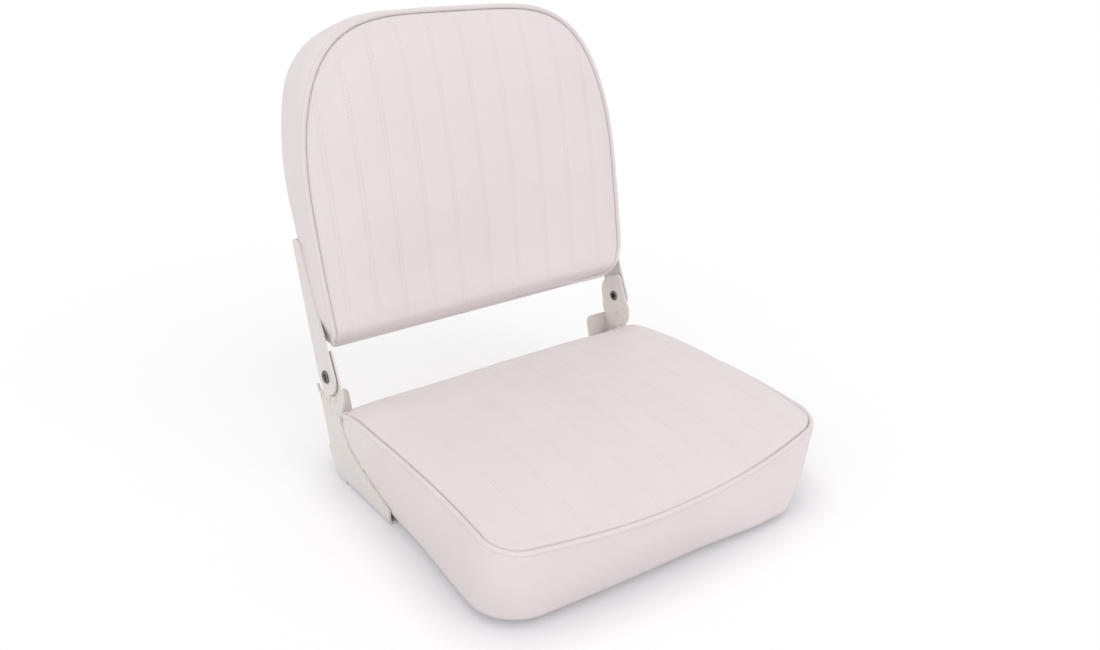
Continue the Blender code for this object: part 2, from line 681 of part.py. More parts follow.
def bracket_mesh():
    corner_start, flange_foot, flange_end = bracket_layout()
    inward = BEND / cos(SLANT_ANGLE)
    foot = flange_foot + RELIEF
    top = REAR_FLANGE_TOP
    pad = (PAD_Y, PAD_Z)
    ear_centre = on_ear(0, EAR_RISE)
    spread = Vector(ear_centre) - Vector(pad)
    tangent_angle = degrees(acos((PAD_RADIUS - EAR_RADIUS) / spread.length))
    behind = degrees(atan2(spread.y, spread.x)) - tangent_angle
    outer = arc(pad, PAD_RADIUS + JOGGLE_RUN, behind, BRACKET_EDGE_ANGLE - 360, 12)
    inner = arc(pad, PAD_RADIUS, behind, BRACKET_EDGE_ANGLE - 360, 12)

    side = [(BRACKET_FRONT, BEND), (flange_end, BEND), (corner_start, BEND)]
    corner_centre = (corner_start, BRACKET_CORNER)
    side += arc(corner_centre, BRACKET_CORNER, -90, -degrees(SLANT_ANGLE), 8)
    side += [(rear_line(flange_foot), flange_foot), (rear_line(flange_foot) - inward, flange_foot)]
    side += [(rear_line(foot) - inward, foot), (rear_line(top) - inward, top)]
    side += [(rear_line(top) - inward, top + RELIEF), (rear_line(top + RELIEF), top + RELIEF)]
    side += [(rear_line(BRACKET_TOP), BRACKET_TOP)]
    side += outer
    tip = (BRACKET_FRONT, BRACKET_TIP_HEIGHT)
    start = outer[-1]
    handles = [tuple(here + share * (there - here) for here, there, share in zip(start, tip, shares))
               for shares in BRACKET_SWEEP]
    side += bezier(start, *handles, tip, 10)[1:]
    polygons = [[(X_OUT, y, z) for y, z in side]]

    for (outer_a, outer_b), (inner_a, inner_b) in zip(zip(outer, outer[1:]), zip(inner, inner[1:])):
        polygons.append([(X_OUT, *outer_a), (X_OUT, *outer_b), (EAR_OUT, *inner_b), (EAR_OUT, *inner_a)])
    ear = inner[::-1] + ear_edge(pad, ear_centre, behind)
    polygons.append([(EAR_OUT, y, z) for y, z in ear])

    polygons += bend_strips([(BRACKET_FRONT, BEND), (flange_end, BEND)], (0, -1))
    inner_x = X_OUT - BOTTOM_FLANGE
    corner = REAR_FLANGE_CORNER
    flange = [(X_OUT - BEND, BRACKET_FRONT), (X_OUT - BEND, flange_end)]
    flange += arc((inner_x + corner, flange_end - corner), corner, 90, 180, 4)
    flange += arc((inner_x + corner, BRACKET_FRONT + corner), corner, 180, 270, 4)
    polygons.append([(x, y, 0) for x, y in flange])

    outward = (cos(SLANT_ANGLE), -sin(SLANT_ANGLE))
    polygons += bend_strips([(rear_line(foot) - inward, foot), (rear_line(top) - inward, top)], outward)
    inner_x = X_OUT - REAR_FLANGE
    lift = BEND * outward[1]
    flange = [(X_OUT - BEND, top), (X_OUT - BEND, foot)]
    flange += arc((inner_x + corner, foot + corner), corner, 270, 180, 4)
    flange += arc((inner_x + corner, top - corner), corner, 180, 90, 4)
    polygons.append([(x, rear_line(z) - inward + BEND * outward[0], z + lift) for x, z in flange])
    return sheet_mesh("hinge_bracket", polygons)


def stop_place():
    """Centre of the stop bump on the ear, in the plane of the hinge."""
    return PIVOT_Y - STOP_REACH * sin(STOP_ANGLE), PIVOT_HEIGHT - STOP_REACH * cos(STOP_ANGLE)


def bracket_screw_places(side):
    flange_end = bracket_layout()[2]
    along = steps(BRACKET_FRONT + SCREW_END_MARGIN, flange_end - SCREW_END_MARGIN, BRACKET_SCREWS - 1)
    return [(side * (X_OUT - BRACKET_SCREW_FROM_EDGE), y) for y in along]


def build_brackets(seat_frame, seat_boxing):
    sheet = bracket_mesh()
    stop_y, stop_z = stop_place()
    head_depth = PLATE
    head_low = GAP
    screw_profile = [(0, BRACKET_SCREW_LENGTH), (SCREW_RADIUS, BRACKET_SCREW_LENGTH - SCREW_RADIUS),
                     (SCREW_RADIUS, head_depth), (SCREW_HEAD_RADIUS, head_low), (0, head_low)]
    for name, side in SIDES:
        mesh = sheet if side > 0 else mirrored(sheet, "hinge_bracket_left")
        bracket = solidify(place(f"hinge_bracket_{name}", mesh, HINGE_FINISH), PLATE)
        outward = Matrix.Rotation(side * pi / 2, 4, "Y")
        axle = Matrix.Translation((side * EAR_IN, PIVOT_Y, PIVOT_HEIGHT)) @ outward
        boolean(bracket, cylinders(f"bracket_bore_{name}", [axle], PIVOT_RADIUS + GAP, -PLATE, 2 * PLATE))
        bump = Matrix.Translation((side * EAR_OUT, stop_y, stop_z)) @ outward
        boss = cylinders(f"stop_bump_{name}", [bump], STOP_BASE, -STOP_ROOT, STOP_HEIGHT, tip_radius=STOP_TIP)
        boolean(bracket, boss, "UNION")
        dimple = cylinders(f"stop_dimple_{name}", [bump], STOP_BASE, -2 * PLATE, STOP_DIMPLE - PLATE,
                           tip_radius=STOP_TIP)
        boolean(bracket, dimple)
        spots = bracket_screw_places(side)
        places = [Matrix.Translation((x, y, 0)) for x, y in spots]
        sink = cylinders(f"bracket_sinks_{name}", places, SCREW_HEAD_RADIUS + 2 * GAP, -GAP, head_depth + GAP,
                         tip_radius=SCREW_RADIUS + GAP)
        deep = BRACKET_SCREW_LENGTH + GAP
        shank = cylinders(f"bracket_holes_{name}", places, SCREW_RADIUS + GAP, -GAP, deep, sides=16)
        for piece in (bracket, seat_boxing, seat_frame):
            boolean(piece, shank)
        boolean(bracket, sink)
        for number, (x, y) in enumerate(spots, 1):
            screw = turned(f"bracket_screw_{name}_{number}", screw_profile, STEEL_FINISH, segments=12)
            screw.location = (x, y, 0)


def build_pivots():
    head = X_OUT + GAP
    tail = EAR_IN - GAP
    profile = [(RIVET_HEAD_RADIUS * across, head + RIVET_HEAD * up) for across, up in RIVET_DOME]
    profile += [(PIVOT_RADIUS, head), (PIVOT_RADIUS, tail), (RIVET_HEAD_RADIUS - RIVET_ROLL / 3, tail)]
    profile += [(RIVET_HEAD_RADIUS - RIVET_ROLL / 2, tail - RIVET_ROLL), (PIVOT_RADIUS, tail - RIVET_ROLL)]
    profile += [(RIVET_HOLLOW_RADIUS, tail), (RIVET_HOLLOW_RADIUS, tail + RIVET_HOLLOW_DEPTH)]
    profile += [(0, tail + RIVET_HOLLOW_DEPTH)]
    inner = X_IN - GAP - WASHER
    bore = PIVOT_RADIUS + GAP
    ring = [(bore, inner + WASHER), (WASHER_RADIUS, inner + WASHER), (WASHER_RADIUS, inner), (bore, inner)]
    for name, side in SIDES:
        rivet = turned(f"pivot_rivet_{name}", profile, STEEL_FINISH, segments=20)
        washer = turned(f"pivot_washer_{name}", ring, NYLON_FINISH, segments=20, ring=True)
        for piece in (rivet, washer):
            piece.location = PIVOT
            piece.rotation_euler = hinge_axis(side)


def arm_mesh():
    """Side bar and rear flange of the hinge arm, in the backrest's frame."""
    rear = ARM_END
    front_top = (rear + BEND - ARM_TOP_WIDTH + ARM_TOP_CORNER, ARM_TOP - ARM_TOP_CORNER)
    reach = hypot(*front_top)
    edge_turn = degrees(acos((ARM_END - ARM_TOP_CORNER) / reach))
    tangent = degrees(atan2(front_top[1], front_top[0])) + edge_turn
    stop_local = STOP_ANGLE - LEAN
    shoulder = stop_local - asin((STOP_AT_ARM + GAP) / STOP_REACH)
    toe_start = -90 - degrees(shoulder)
    toe_end = toe_start + degrees(TOE_SPAN)
    outline = arc((0, 0), ARM_END, tangent - 360, toe_start, 10)
    outline += arc((0, 0), TOE_REACH, toe_start, toe_end, 5)
    outline += arc((0, 0), ARM_END, toe_end + degrees(TOE_RELIEF), 0, 4)
    outline += [(rear, ARM_FLANGE_FOOT), (rear, ARM_TOP)]
    outline += arc(front_top, ARM_TOP_CORNER, 90, tangent, 5)
    polygons = [[(X_OUT, y, z) for y, z in outline]]
    polygons += bend_strips([(rear, ARM_FLANGE_FOOT), (rear, ARM_TOP)], (1, 0))
    inner_x = X_OUT - ARM_FLANGE
    flange = [(X_OUT - BEND, ARM_TOP), (X_OUT - BEND, ARM_FLANGE_FOOT)]
    flange += [(X_OUT - ARM_FLANGE_FOOT_WIDTH, ARM_FLANGE_FOOT)]
    flange += [(inner_x, ARM_FLANGE_FOOT + ARM_FLANGE_FOOT_WIDTH)]
    flange += arc((inner_x + ARM_TOP_CORNER, ARM_TOP - ARM_TOP_CORNER), ARM_TOP_CORNER, 180, 90, 4)
    polygons.append([(x, rear + BEND, z) for x, z in flange])
    return sheet_mesh("hinge_arm", polygons)


def arm_screw_places(side):
    low = ARM_FLANGE_FOOT + ARM_FLANGE_FOOT_WIDTH + SCREW_END_MARGIN / 2
    heights = steps(low, ARM_TOP - SCREW_END_MARGIN, ARM_SCREWS - 1)
    return [(side * (X_OUT - ARM_SCREW_FROM_EDGE), z) for z in heights]


def build_arms(backrest, drilled):
    sheet = arm_mesh()
    face = BACK_REAR + GAP + PLATE + GAP
    profile = [(SCREW_HEAD_RADIUS * across, ARM_SCREW_HEAD * up) for across, up in SCREW_DOME]
    profile += [(SCREW_RADIUS, 0), (SCREW_RADIUS, SCREW_RADIUS - ARM_SCREW_LENGTH), (0, -ARM_SCREW_LENGTH)]
    facing_back = Matrix.Rotation(-pi / 2, 4, "X")
    for name, side in SIDES:
        mesh = sheet if side > 0 else mirrored(sheet, "hinge_arm_left")
        arm = solidify(place(f"hinge_arm_{name}", mesh, HINGE_FINISH, backrest), PLATE)
        axle = Matrix.Translation((side * X_IN, 0, 0)) @ Matrix.Rotation(side * pi / 2, 4, "Y")
        boolean(arm, cylinders(f"arm_bore_{name}", [axle], PIVOT_RADIUS + GAP, -PLATE, 2 * PLATE, backrest))
        spots = arm_screw_places(side)
        places = [Matrix.Translation((x, face, z)) @ facing_back for x, z in spots]
        bore = SCREW_RADIUS + GAP
        deep = ARM_SCREW_LENGTH + GAP
        holes = cylinders(f"arm_holes_{name}", places, bore, -deep, ARM_SCREW_HEAD, backrest, sides=16)
        for piece in (arm, *drilled):
            boolean(piece, holes)
        for number, (x, z) in enumerate(spots, 1):
            screw = turned(f"arm_screw_{name}_{number}", profile, STEEL_FINISH, backrest, segments=12)
            screw.location = (x, face, z)
            screw.rotation_euler = (-pi / 2, 0, 0)


# Back cushion, in the backrest's frame: X across, Y to the rear, Z up the rear face


def back_half_width(rise, inset=0.0):
    """Half width of the back at a height above its bottom edge."""
    widest = BACK_HALF_WIDTH - inset
    if rise <= BACK_WIDEST:
        return widest - BACK_BOTTOM_TAPER * ((BACK_WIDEST - rise) / BACK_WIDEST) ** 2
    share = min(1.0, (rise - BACK_WIDEST) / (BACK_HEIGHT - inset - BACK_WIDEST))
    return widest * (1 - share ** BACK_TOP_RISE_POWER) ** (1 / BACK_TOP_SIDE_POWER)


def back_outline(inset):
    """Outline of the back: straight bottom with round corners, swelling sides and a broad domed top."""
    corner = max(BACK_BOTTOM_CORNER - inset, BACK_EDGE_RADIUS)
    low = BACK_BOTTOM + inset
    corner_top = inset + corner
    width = back_half_width(corner_top, inset)
    half = [(x, low) for x in steps(0, width - corner, 3)[:-1]]
    half += arc((width - corner, low + corner), corner, -90, 0, 5)
    rises = steps(corner_top, BACK_WIDEST, 3)[1:]
    half += [(back_half_width(rise, inset), BACK_BOTTOM + rise) for rise in rises]
    top = BACK_HEIGHT - inset - BACK_WIDEST
    for share in steps(0, 1, 12)[1:]:
        turn = pi / 2 * (1 - (1 - share) ** BACK_DOME_EASE)
        x = (BACK_HALF_WIDTH - inset) * max(0.0, cos(turn)) ** (2 / BACK_TOP_SIDE_POWER)
        z = BACK_BOTTOM + BACK_WIDEST + top * sin(turn) ** (2 / BACK_TOP_RISE_POWER)
        half.append((x if share < 1 else 0.0, z))
    return both_halves(half)


def back_seam(z):
    """Where the welt lies in the thickness of the back: deeper at the top, and rolled under at the bottom."""
    rise = z - BACK_BOTTOM
    depth = BACK_DEPTH_BOTTOM + (BACK_DEPTH_TOP - BACK_DEPTH_BOTTOM) * rise / BACK_HEIGHT
    return BACK_REAR - depth + BACK_ROLL * max(0.0, 1 - rise / BACK_ROLL_HEIGHT) ** 2


def back_seam_slant(z):
    """How much longer a distance across the welt is along the depth, where the seam rolls under."""
    rise = z - BACK_BOTTOM
    return hypot(1, 2 * BACK_ROLL / BACK_ROLL_HEIGHT * max(0.0, 1 - rise / BACK_ROLL_HEIGHT))


def back_crown(x, z):
    """How far the crowned front stands before the seam."""
    rise = min(max(z - BACK_BOTTOM, 0.0), BACK_HEIGHT)
    across = 1 - (abs(x) / max(back_half_width(rise), BACK_EDGE_RADIUS)) ** BACK_CROWN_POWER
    along = 1 - abs(2 * rise / BACK_HEIGHT - 1) ** BACK_CROWN_POWER
    return BACK_CROWN * max(0.0, across) * max(0.0, along)


def back_front(x, z):
    return back_seam(z) - back_crown(x, z) + channel_dip(x, BACK_CHANNEL_PITCH, BACK_CHANNELS)


def back_foam_front(x, z):
    return back_seam(z) - back_crown(x, z) + CHANNEL_DEPTH + VINYL + FOAM_SLACK


def back_wall_ring(share, inset, front_drop, rear):
    """One ring of the boxing between the welt and the rounded rear edge."""
    outline = back_outline(inset + BACK_SIDE_DRAW * sin(pi * share))
    return [(x, (back_seam(z) + front_drop * back_seam_slant(z)) * (1 - share) + rear * share, z)
            for x, z in outline]


def build_back_cushion(backrest):
    wall_front = WELT_RADIUS + GAP
    edge_start = HEM_REAR - BACK_EDGE_RADIUS
    rings = [back_wall_ring(share, 0, wall_front, edge_start) for share in (0, 0.5, 1)]
    for angle in REAR_EDGE_TURNS:
        depth = edge_start + BACK_EDGE_RADIUS * sin(angle)
        rings.append([(x, depth, z) for x, z in back_outline(BACK_EDGE_RADIUS * (1 - cos(angle)))])
    rings.append([(x, HEM_REAR, z) for x, z in back_outline(BACK_EDGE_RADIUS + BACK_HEM)])
    boxing = solidify(place("back_boxing", loft("back_boxing", rings), COVER_FINISH, backrest), VINYL)

    welt = [(x, back_seam(z), z) for x, z in back_outline(-WELT_PROUD)]
    tube("back_welt", welt, WELT_RADIUS, COVER_FINISH, backrest)

    edge = WELT_RADIUS + GAP
    columns = channel_columns(BACK_CHANNEL_PITCH, BACK_CHANNELS, BACK_HALF_WIDTH)
    rows = eased_steps(BACK_BOTTOM - edge, BACK_BOTTOM + BACK_HEIGHT + edge, PANEL_ROWS)
    sheet = grid("back_front_panel", columns, rows, lambda x, z: (x, back_front(x, z), z))
    panel = solidify(place("back_front_panel", sheet, COVER_FINISH, backrest), VINYL)
    deepest = BACK_DEPTH_TOP + 2 * BACK_CROWN
    cutter = upright(flat_outline("back_front_outline", back_outline(edge - WELT_PROUD), -deepest, deepest))
    boolean(panel, place("back_front_outline", cutter, parent=backrest), "INTERSECT")

    inside = VINYL + FOAM_SLACK / 2
    foam = [[(x, back_foam_front(x, z), z) for x, z in back_outline(inset)] for inset in BACK_FOAM_INSETS]
    rear = BACK_FRAME_FRONT - GAP
    foam += [back_wall_ring(share, inside, wall_front + GAP, rear) for share in (0, 0.5, 1)]
    place("back_foam", loft("back_foam", foam, closed=True), FOAM_FINISH, backrest)

    outline = back_outline(REAR_PANEL_INSET)
    cover = upright(flat_outline("back_rear_panel", outline, -BACK_REAR, VINYL - BACK_REAR))
    rear_panel = place("back_rear_panel", cover, COVER_FINISH, backrest)
    return boxing, rear_panel


def build_back_frame(backrest):
    """Moulded board behind the foam, pocketed from the rear."""
    inset = BACK_EDGE_RADIUS + GAP
    board = upright(flat_outline("back_frame", back_outline(inset), -BACK_FRAME_REAR, -BACK_FRAME_FRONT))
    frame = place("back_frame", board, PAN_FINISH, backrest)
    border = inset + BACK_HEM + GAP
    half_cells = floor((BACK_HALF_WIDTH - border) / BACK_CELL_PITCH)
    rows = floor((BACK_HEIGHT - 2 * border) / BACK_CELL_PITCH)
    pockets = []
    for column in range(-half_cells, half_cells):
        for row in range(rows):
            low = (column * BACK_CELL_PITCH + RIB / 2, border + row * BACK_CELL_PITCH)
            high = (low[0] + BACK_CELL_PITCH - RIB, low[1] + BACK_CELL_PITCH - RIB)
            reach = max(abs(low[0]), abs(high[0]))
            if reach < min(back_half_width(low[1], border), back_half_width(high[1], border)):
                pockets.append(((low[0], BACK_FRAME_FRONT + BACK_FRAME_WALL, BACK_BOTTOM + low[1]),
                                (high[0], BACK_REAR, BACK_BOTTOM + high[1])))
    return boolean(frame, boxes("back_frame_pockets", pockets, backrest))


def main():
    backrest = bpy.data.objects.new("backrest_pivot", None)
    seat_collection.objects.link(backrest)
    backrest.location = PIVOT
    backrest.rotation_euler = (-LEAN, 0, 0)
    seat_boxing = build_seat_cushion()
    seat_frame = build_seat_frame()
    build_brackets(seat_frame, seat_boxing)
    build_pivots()
    back_boxing, rear_panel = build_back_cushion(backrest)
    back_frame = build_back_frame(backrest)
    build_arms(backrest, (back_boxing, rear_panel, back_frame))


main()
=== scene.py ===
"""Looks of the fold-down boat seat: upholstery, piping, stitching, finishes, light and camera."""
import math

import bmesh
import bpy
import numpy as np
from mathutils import Matrix, Vector
from mathutils.bvhtree import BVHTree


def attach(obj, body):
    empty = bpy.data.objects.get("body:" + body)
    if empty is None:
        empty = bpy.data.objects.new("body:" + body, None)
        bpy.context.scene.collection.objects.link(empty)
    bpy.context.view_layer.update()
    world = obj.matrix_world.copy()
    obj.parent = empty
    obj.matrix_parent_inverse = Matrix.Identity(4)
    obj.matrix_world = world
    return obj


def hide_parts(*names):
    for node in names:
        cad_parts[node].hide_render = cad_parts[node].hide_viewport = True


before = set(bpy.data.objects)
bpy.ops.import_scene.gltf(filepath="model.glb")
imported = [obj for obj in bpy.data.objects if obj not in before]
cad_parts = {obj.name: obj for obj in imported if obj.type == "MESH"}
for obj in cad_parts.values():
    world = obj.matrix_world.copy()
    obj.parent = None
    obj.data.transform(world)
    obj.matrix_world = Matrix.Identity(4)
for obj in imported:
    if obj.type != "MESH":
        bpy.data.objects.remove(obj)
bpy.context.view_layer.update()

MM = 0.001
PI = math.pi

# Lengths are in metres. Base cushion: outline, wall and the hem under the pan
SEAT_HALF_WIDTH = 0.206
SEAT_FRONT = 0.1945
SEAT_REAR = 0.1824
SEAT_FLARE = 0.02
SEAT_FRONT_BOW = 0.027
SEAT_FRONT_CORNER = 0.037
SEAT_REAR_CORNER = 0.026
SEAT_EDGE_RADIUS = 0.012
SEAT_REAR_EDGE_RADIUS = 0.036
SEAT_REAR_SLANT = 0.24
SEAT_FLUSH = 0.0028
SEAT_BULGE = 0.002
SEAT_BOTTOM_BOW = 0.006
SEAT_BOTTOM_CORNER = 0.052
SEAT_FRONT_TUCK = 0.004
SEAT_HEM = 0.024
HEM_BOTTOM = 0.0028
HEM_TOP = 0.0042
HEM_TURN = 0.6
PAN_INSET = 0.0143
PAN_GAP = 0.0006
FRAME_TOP = 0.0125
FRAME_GAP = 0.0003

# The cover's twist, with its right front corner drawn in, and the wall's share of it
SEAT_TWIST = 0.05
SEAT_CORNER_TAPER = 0.030
SEAT_FRONT_REACH = 0.007
SEAT_CORNER_CUT = 0.022
WALL_SHARE = 0.85

# Height of the welt and fullness of the top panel
WELT_FRONT_HEIGHT = 0.0715
WELT_MIDDLE_HEIGHT = 0.092
WELT_REAR_HEIGHT = 0.060
WELT_SHOULDER = 0.090
WELT_LIFT = 0.003
SEAT_CROWN = 0.0138

# Where the hinge brackets press on the base cushion
PINCH_HELD = 0.2021
PINCH_Y = (0.1355, 0.1425)
PINCH_RISE = (0.069, 0.079)
PLATE_LIMIT = 0.2062
BRACKET_FRONT = 0.040
BRACKET_EDGE_Z = (0.018, 0.028, 0.040, 0.052, 0.064, 0.076, 0.088)
BRACKET_EDGE_Y = (0.040, 0.076, 0.105, 0.123, 0.135, 0.142, 0.145)

# Back cushion, in the frame that leans with its rear face about the pivot
PIVOT = np.array((0.0, 0.168331, 0.1215))
LEAN = math.radians(13)
BACK_REAR = 0.0226
BACK_BOTTOM = 0.033
BACK_HEIGHT = 0.3365
BACK_WIDEST = 0.151
BACK_HALF_WIDTH = 0.2025
BACK_BOTTOM_TAPER = 0.0045
BACK_BOTTOM_CORNER = 0.009
BACK_LOWER_DRAW = 0.011
BACK_TOP_SIDE_POWER = 4.4
BACK_TOP_RISE_POWER = 2.14
BACK_DEPTH_BOTTOM = 0.046
BACK_DEPTH_TOP = 0.0635
BACK_ROLL = 0.020
BACK_ROLL_HEIGHT = 0.019
BACK_CROWN = 0.018
BACK_LOW_FLATTER = 0.42
BACK_SHOULDER = 0.006
BACK_FLUSH = 0.0022
BACK_BULGE = 0.008
BACK_EDGE_RADIUS = 0.010
BACK_HEM = 0.026
BACK_HEM_REAR = 0.0209
BACK_HEM_FRONT = 0.0195
BACK_FRAME_FRONT = 0.0092
ARM_FACE = 0.2063
ARM_TOP = 0.151

# Rear cover of the back, with one sewn row round it
COVER_INSET = 0.015
COVER_GRID = (180, 120)
COVER_ROW = 0.006

# Seams: the welt, and the groove beside it as insets from the seam and drops
SEAM_PROUD = 0.0003
SEAM_INSET = 0.0012
WELT_RADIUS = 0.0027
WELT_PROUD = 0.0009
GROOVE = 0.0050
GROOVE_STEPS = ((0.0040, 0.0000), (0.0031, -0.0002), (0.0026, -0.0006), (0.0022, -0.0013),
                (0.0018, -0.0022), (0.0000, -0.0022), (-0.0029, -0.0009))
PANEL_EDGE = 0.0025

# Sewn lines of two rows each, their stitches, and the staples of the hem
SEAT_LINES = tuple((line - 4) * 0.041 for line in range(9))
BACK_LINES = (-0.181, -0.149, -0.115, -0.079, -0.041, -0.002, 0.038, 0.079, 0.119, 0.160)
SEAT_LINE_DEPTH = 0.00005
BACK_LINE_DEPTH = 0.00018
ROW_GAP = 0.0019
BACK_ROW_END = 0.004
STITCH = 0.0031
STITCH_PITCH = 0.0042
THREAD_RADIUS = 0.00021
THREAD_LIFT = 0.00005
THREAD_SIDES = 6
# Share of a stitch's length, and its width and rise there in radii
THREAD_PROFILE = ((0.0, 0.25, -1.1), (0.12, 0.85, -0.25), (0.5, 1.0, 0.25),
                  (0.88, 0.85, -0.25), (1.0, 0.25, -1.1))
CAST_FROM = 0.3
STAPLE = 0.010
STAPLE_PITCH = 0.025
STAPLE_RADIUS = 0.00055
STAPLE_LIFT = 0.0003

# Unevenness of the covers
HOLLOW, HOLLOW_WAVE = 0.7 * MM, 0.085
DIMPLE, DIMPLE_WAVE = 0.3 * MM, 0.031
FULL_CURL = 26
# Draw lines in the left wall: place along it, share of the way down there, and reach
CREASES = ((0.070, 0.11, 0.030), (0.020, 0.15, 0.022), (-0.050, 0.10, 0.016))
BAND_WAVE_DEPTH = 0.35 * MM

# Meshes: the fine grids against the coarse ones that are inflated, and what is held then
FINER = 3
SEAT_GRID = (100, 38)
BACK_GRID = (100, 36)
SEAT_FINE = tuple(count * FINER for count in SEAT_GRID)
BACK_FINE = tuple(count * FINER for count in BACK_GRID)
BOXING_RINGS = 16
EDGE_RINGS = 8
SWELL_CAP = 0.0006
SWELL_FRAMES = 20
LINE_HOLD = 0.0034
SEAM_HOLD = (0.0005, 0.009)

# Rivets: their lips as radii and distances out from the hinge's faces
RIVET_HEAD_PLANE = 0.2093
RIVET_TAIL_PLANE = 0.2021
RIVET_BORE = 0.0037
RIVET_LIP = ((0.0040, 0.0000), (0.0070, 0.0000), (0.0075, 0.0005), (0.0073, 0.0013), (0.0065, 0.0020),
             (0.0054, 0.0022), (0.0046, 0.0018), (0.0041, 0.0009), (0.0038, -0.0010))
RIVET_TAIL = ((0.0030, 0.0010), (0.0031, -0.0003), (0.0037, -0.0011), (0.0048, -0.0016), (0.0060, -0.0013),
              (0.0066, -0.0006), (0.0066, 0.0000), (0.0040, 0.0000))

# Studio: lamp name, direction it shines from, its spread in degrees and its strength
AMBIENT = 0.78
LAMPS = (("left", (-0.9, -0.30, 0.45), 60, 0.40), ("front", (0.15, -1.0, 0.80), 60, 0.46),
         ("right", (0.7, 0.15, 0.9), 45, 0.05))
FLOOR_LIFT = 0.215
FLOOR_SHADE = (0.58, 0.57, 0.60)
FLOOR_WHITE = (0.85, 0.845, 0.85)


def ease(t):
    return t * t * (3 - 2 * t)


def smooth(start, end, value):
    """A smooth step from 0 at start to 1 at end."""
    return ease(np.clip((np.asarray(value, float) - start) / (end - start), 0.0, 1.0))


def noise(seed, wavelength, position):
    """Smooth seeded noise along a line, from -1 to 1."""
    size = 512
    values = np.random.default_rng(seed).uniform(-1, 1, size)
    place = np.asarray(position, float) / wavelength
    low = np.floor(place).astype(int)
    t = ease(place - low)
    return values[low % size] * (1 - t) + values[(low + 1) % size] * t


def noise_plane(seed, wavelength, u, v):
    """Smooth seeded noise over a plane, from -1 to 1."""
    size = 64
    values = np.random.default_rng(seed).uniform(-1, 1, (size, size))
    pu, pv = np.asarray(u, float) / wavelength, np.asarray(v, float) / wavelength
    iu, iv = np.floor(pu).astype(int), np.floor(pv).astype(int)
    tu, tv = ease(pu - iu), ease(pv - iv)
    low, high = [values[iu % size, row % size] * (1 - tu) + values[(iu + 1) % size, row % size] * tu
                 for row in (iv, iv + 1)]
    return low * (1 - tv) + high * tv


def arc(centre, radius, start, end):
    turns = np.linspace(start, end, 24)
    return np.stack([centre[0] + radius * np.cos(turns), centre[1] + radius * np.sin(turns)], 1)


def loop_length(line):
    return np.concatenate([[0], np.cumsum(np.linalg.norm(np.diff(line, axis=0), axis=1))])


def resample(line, count):
    """The polyline as count + 1 points, evenly along its length."""
    line = np.asarray(line, float)
    steps = loop_length(line)
    wanted = np.linspace(0, steps[-1], count + 1)
    return np.stack([np.interp(wanted, steps, line[:, axis]) for axis in range(line.shape[1])], 1)


def four_sides(first_half, side, last_half, nu, nv):
    """The four sides of a symmetric outline, from its +X half."""
    flip = np.array((-1, 1))
    first, last = [resample(np.concatenate([(half * flip)[::-1], half[1:]]), nu)
                   for half in (first_half, last_half)]
    right = resample(side, nv)
    return first, right, last, right * flip


def loop_of(sides):
    """The outline as one loop, counter-clockwise."""
    first, right, last, left = sides
    return np.concatenate([first[:-1], right[:-1], last[::-1][:-1], left[::-1][:-1]])


def coons(sides):
    """A patch of points inside four sides, as rows of columns."""
    first, right, last, left = sides
    u = np.linspace(0, 1, len(first))[None, :, None]
    v = np.linspace(0, 1, len(right))[:, None, None]
    ruled = (1 - v) * first[None] + v * last[None] + (1 - u) * left[:, None] + u * right[:, None]
    corners = ((1 - u) * (1 - v) * first[0] + u * (1 - v) * first[-1]
               + (1 - u) * v * last[0] + u * v * last[-1])
    return ruled - corners


def sides_of(loop, nu, nv):
    """The four sides of a loop again."""
    closed = np.concatenate([loop, loop[:1]])
    first, right = closed[:nu + 1], closed[nu:nu + nv + 1]
    last, left = closed[nu + nv:2 * nu + nv + 1], closed[2 * nu + nv:]
    return first, right, last[::-1], left[::-1]


def nearest(points, loop, batch=4000):
    """For each point, its distance to the loop and the index of the loop's nearest point."""
    flat = points.reshape(-1, points.shape[-1])
    distance, index = np.empty(len(flat)), np.empty(len(flat), int)
    for start in range(0, len(flat), batch):
        part = slice(start, start + batch)
        away = ((flat[part][:, None] - loop[None]) ** 2).sum(2)
        index[part] = away.argmin(1)
        distance[part] = np.sqrt(away.min(1))
    return distance.reshape(points.shape[:-1]), index.reshape(points.shape[:-1])


def outward_of(loop):
    """Outward unit normals of a counter-clockwise loop in its own plane."""
    ahead = np.roll(loop, -1, 0) - np.roll(loop, 1, 0)
    normal = np.stack([ahead[:, 1], -ahead[:, 0]], 1)
    return normal / np.linalg.norm(normal, axis=1)[:, None]


def curl_of(loop):
    """How tightly the loop turns at each point, per metre, smoothed."""
    ahead = np.roll(loop, -1, 0) - loop
    angle = np.unwrap(np.arctan2(ahead[:, 1], ahead[:, 0]))
    turn = np.diff(np.concatenate([angle, [angle[0] + 2 * PI]]))
    curl = turn / np.linalg.norm(ahead, axis=1)
    for _ in range(30):
        curl = (np.roll(curl, 1) + curl * 2 + np.roll(curl, -1)) / 4
    return curl


# Covers


def from_line(x, lines):
    return np.abs(np.asarray(x)[..., None] - np.asarray(lines)).min(-1)


def channel(x, lines):
    """Draw-in of the sewn lines, with a finer groove under each of their two rows, up to about 1."""
    away = from_line(x, lines)
    return 0.4 * np.exp(-(away / 0.0040) ** 2) + 0.6 * np.exp(-((away - ROW_GAP) / 0.0009) ** 2)


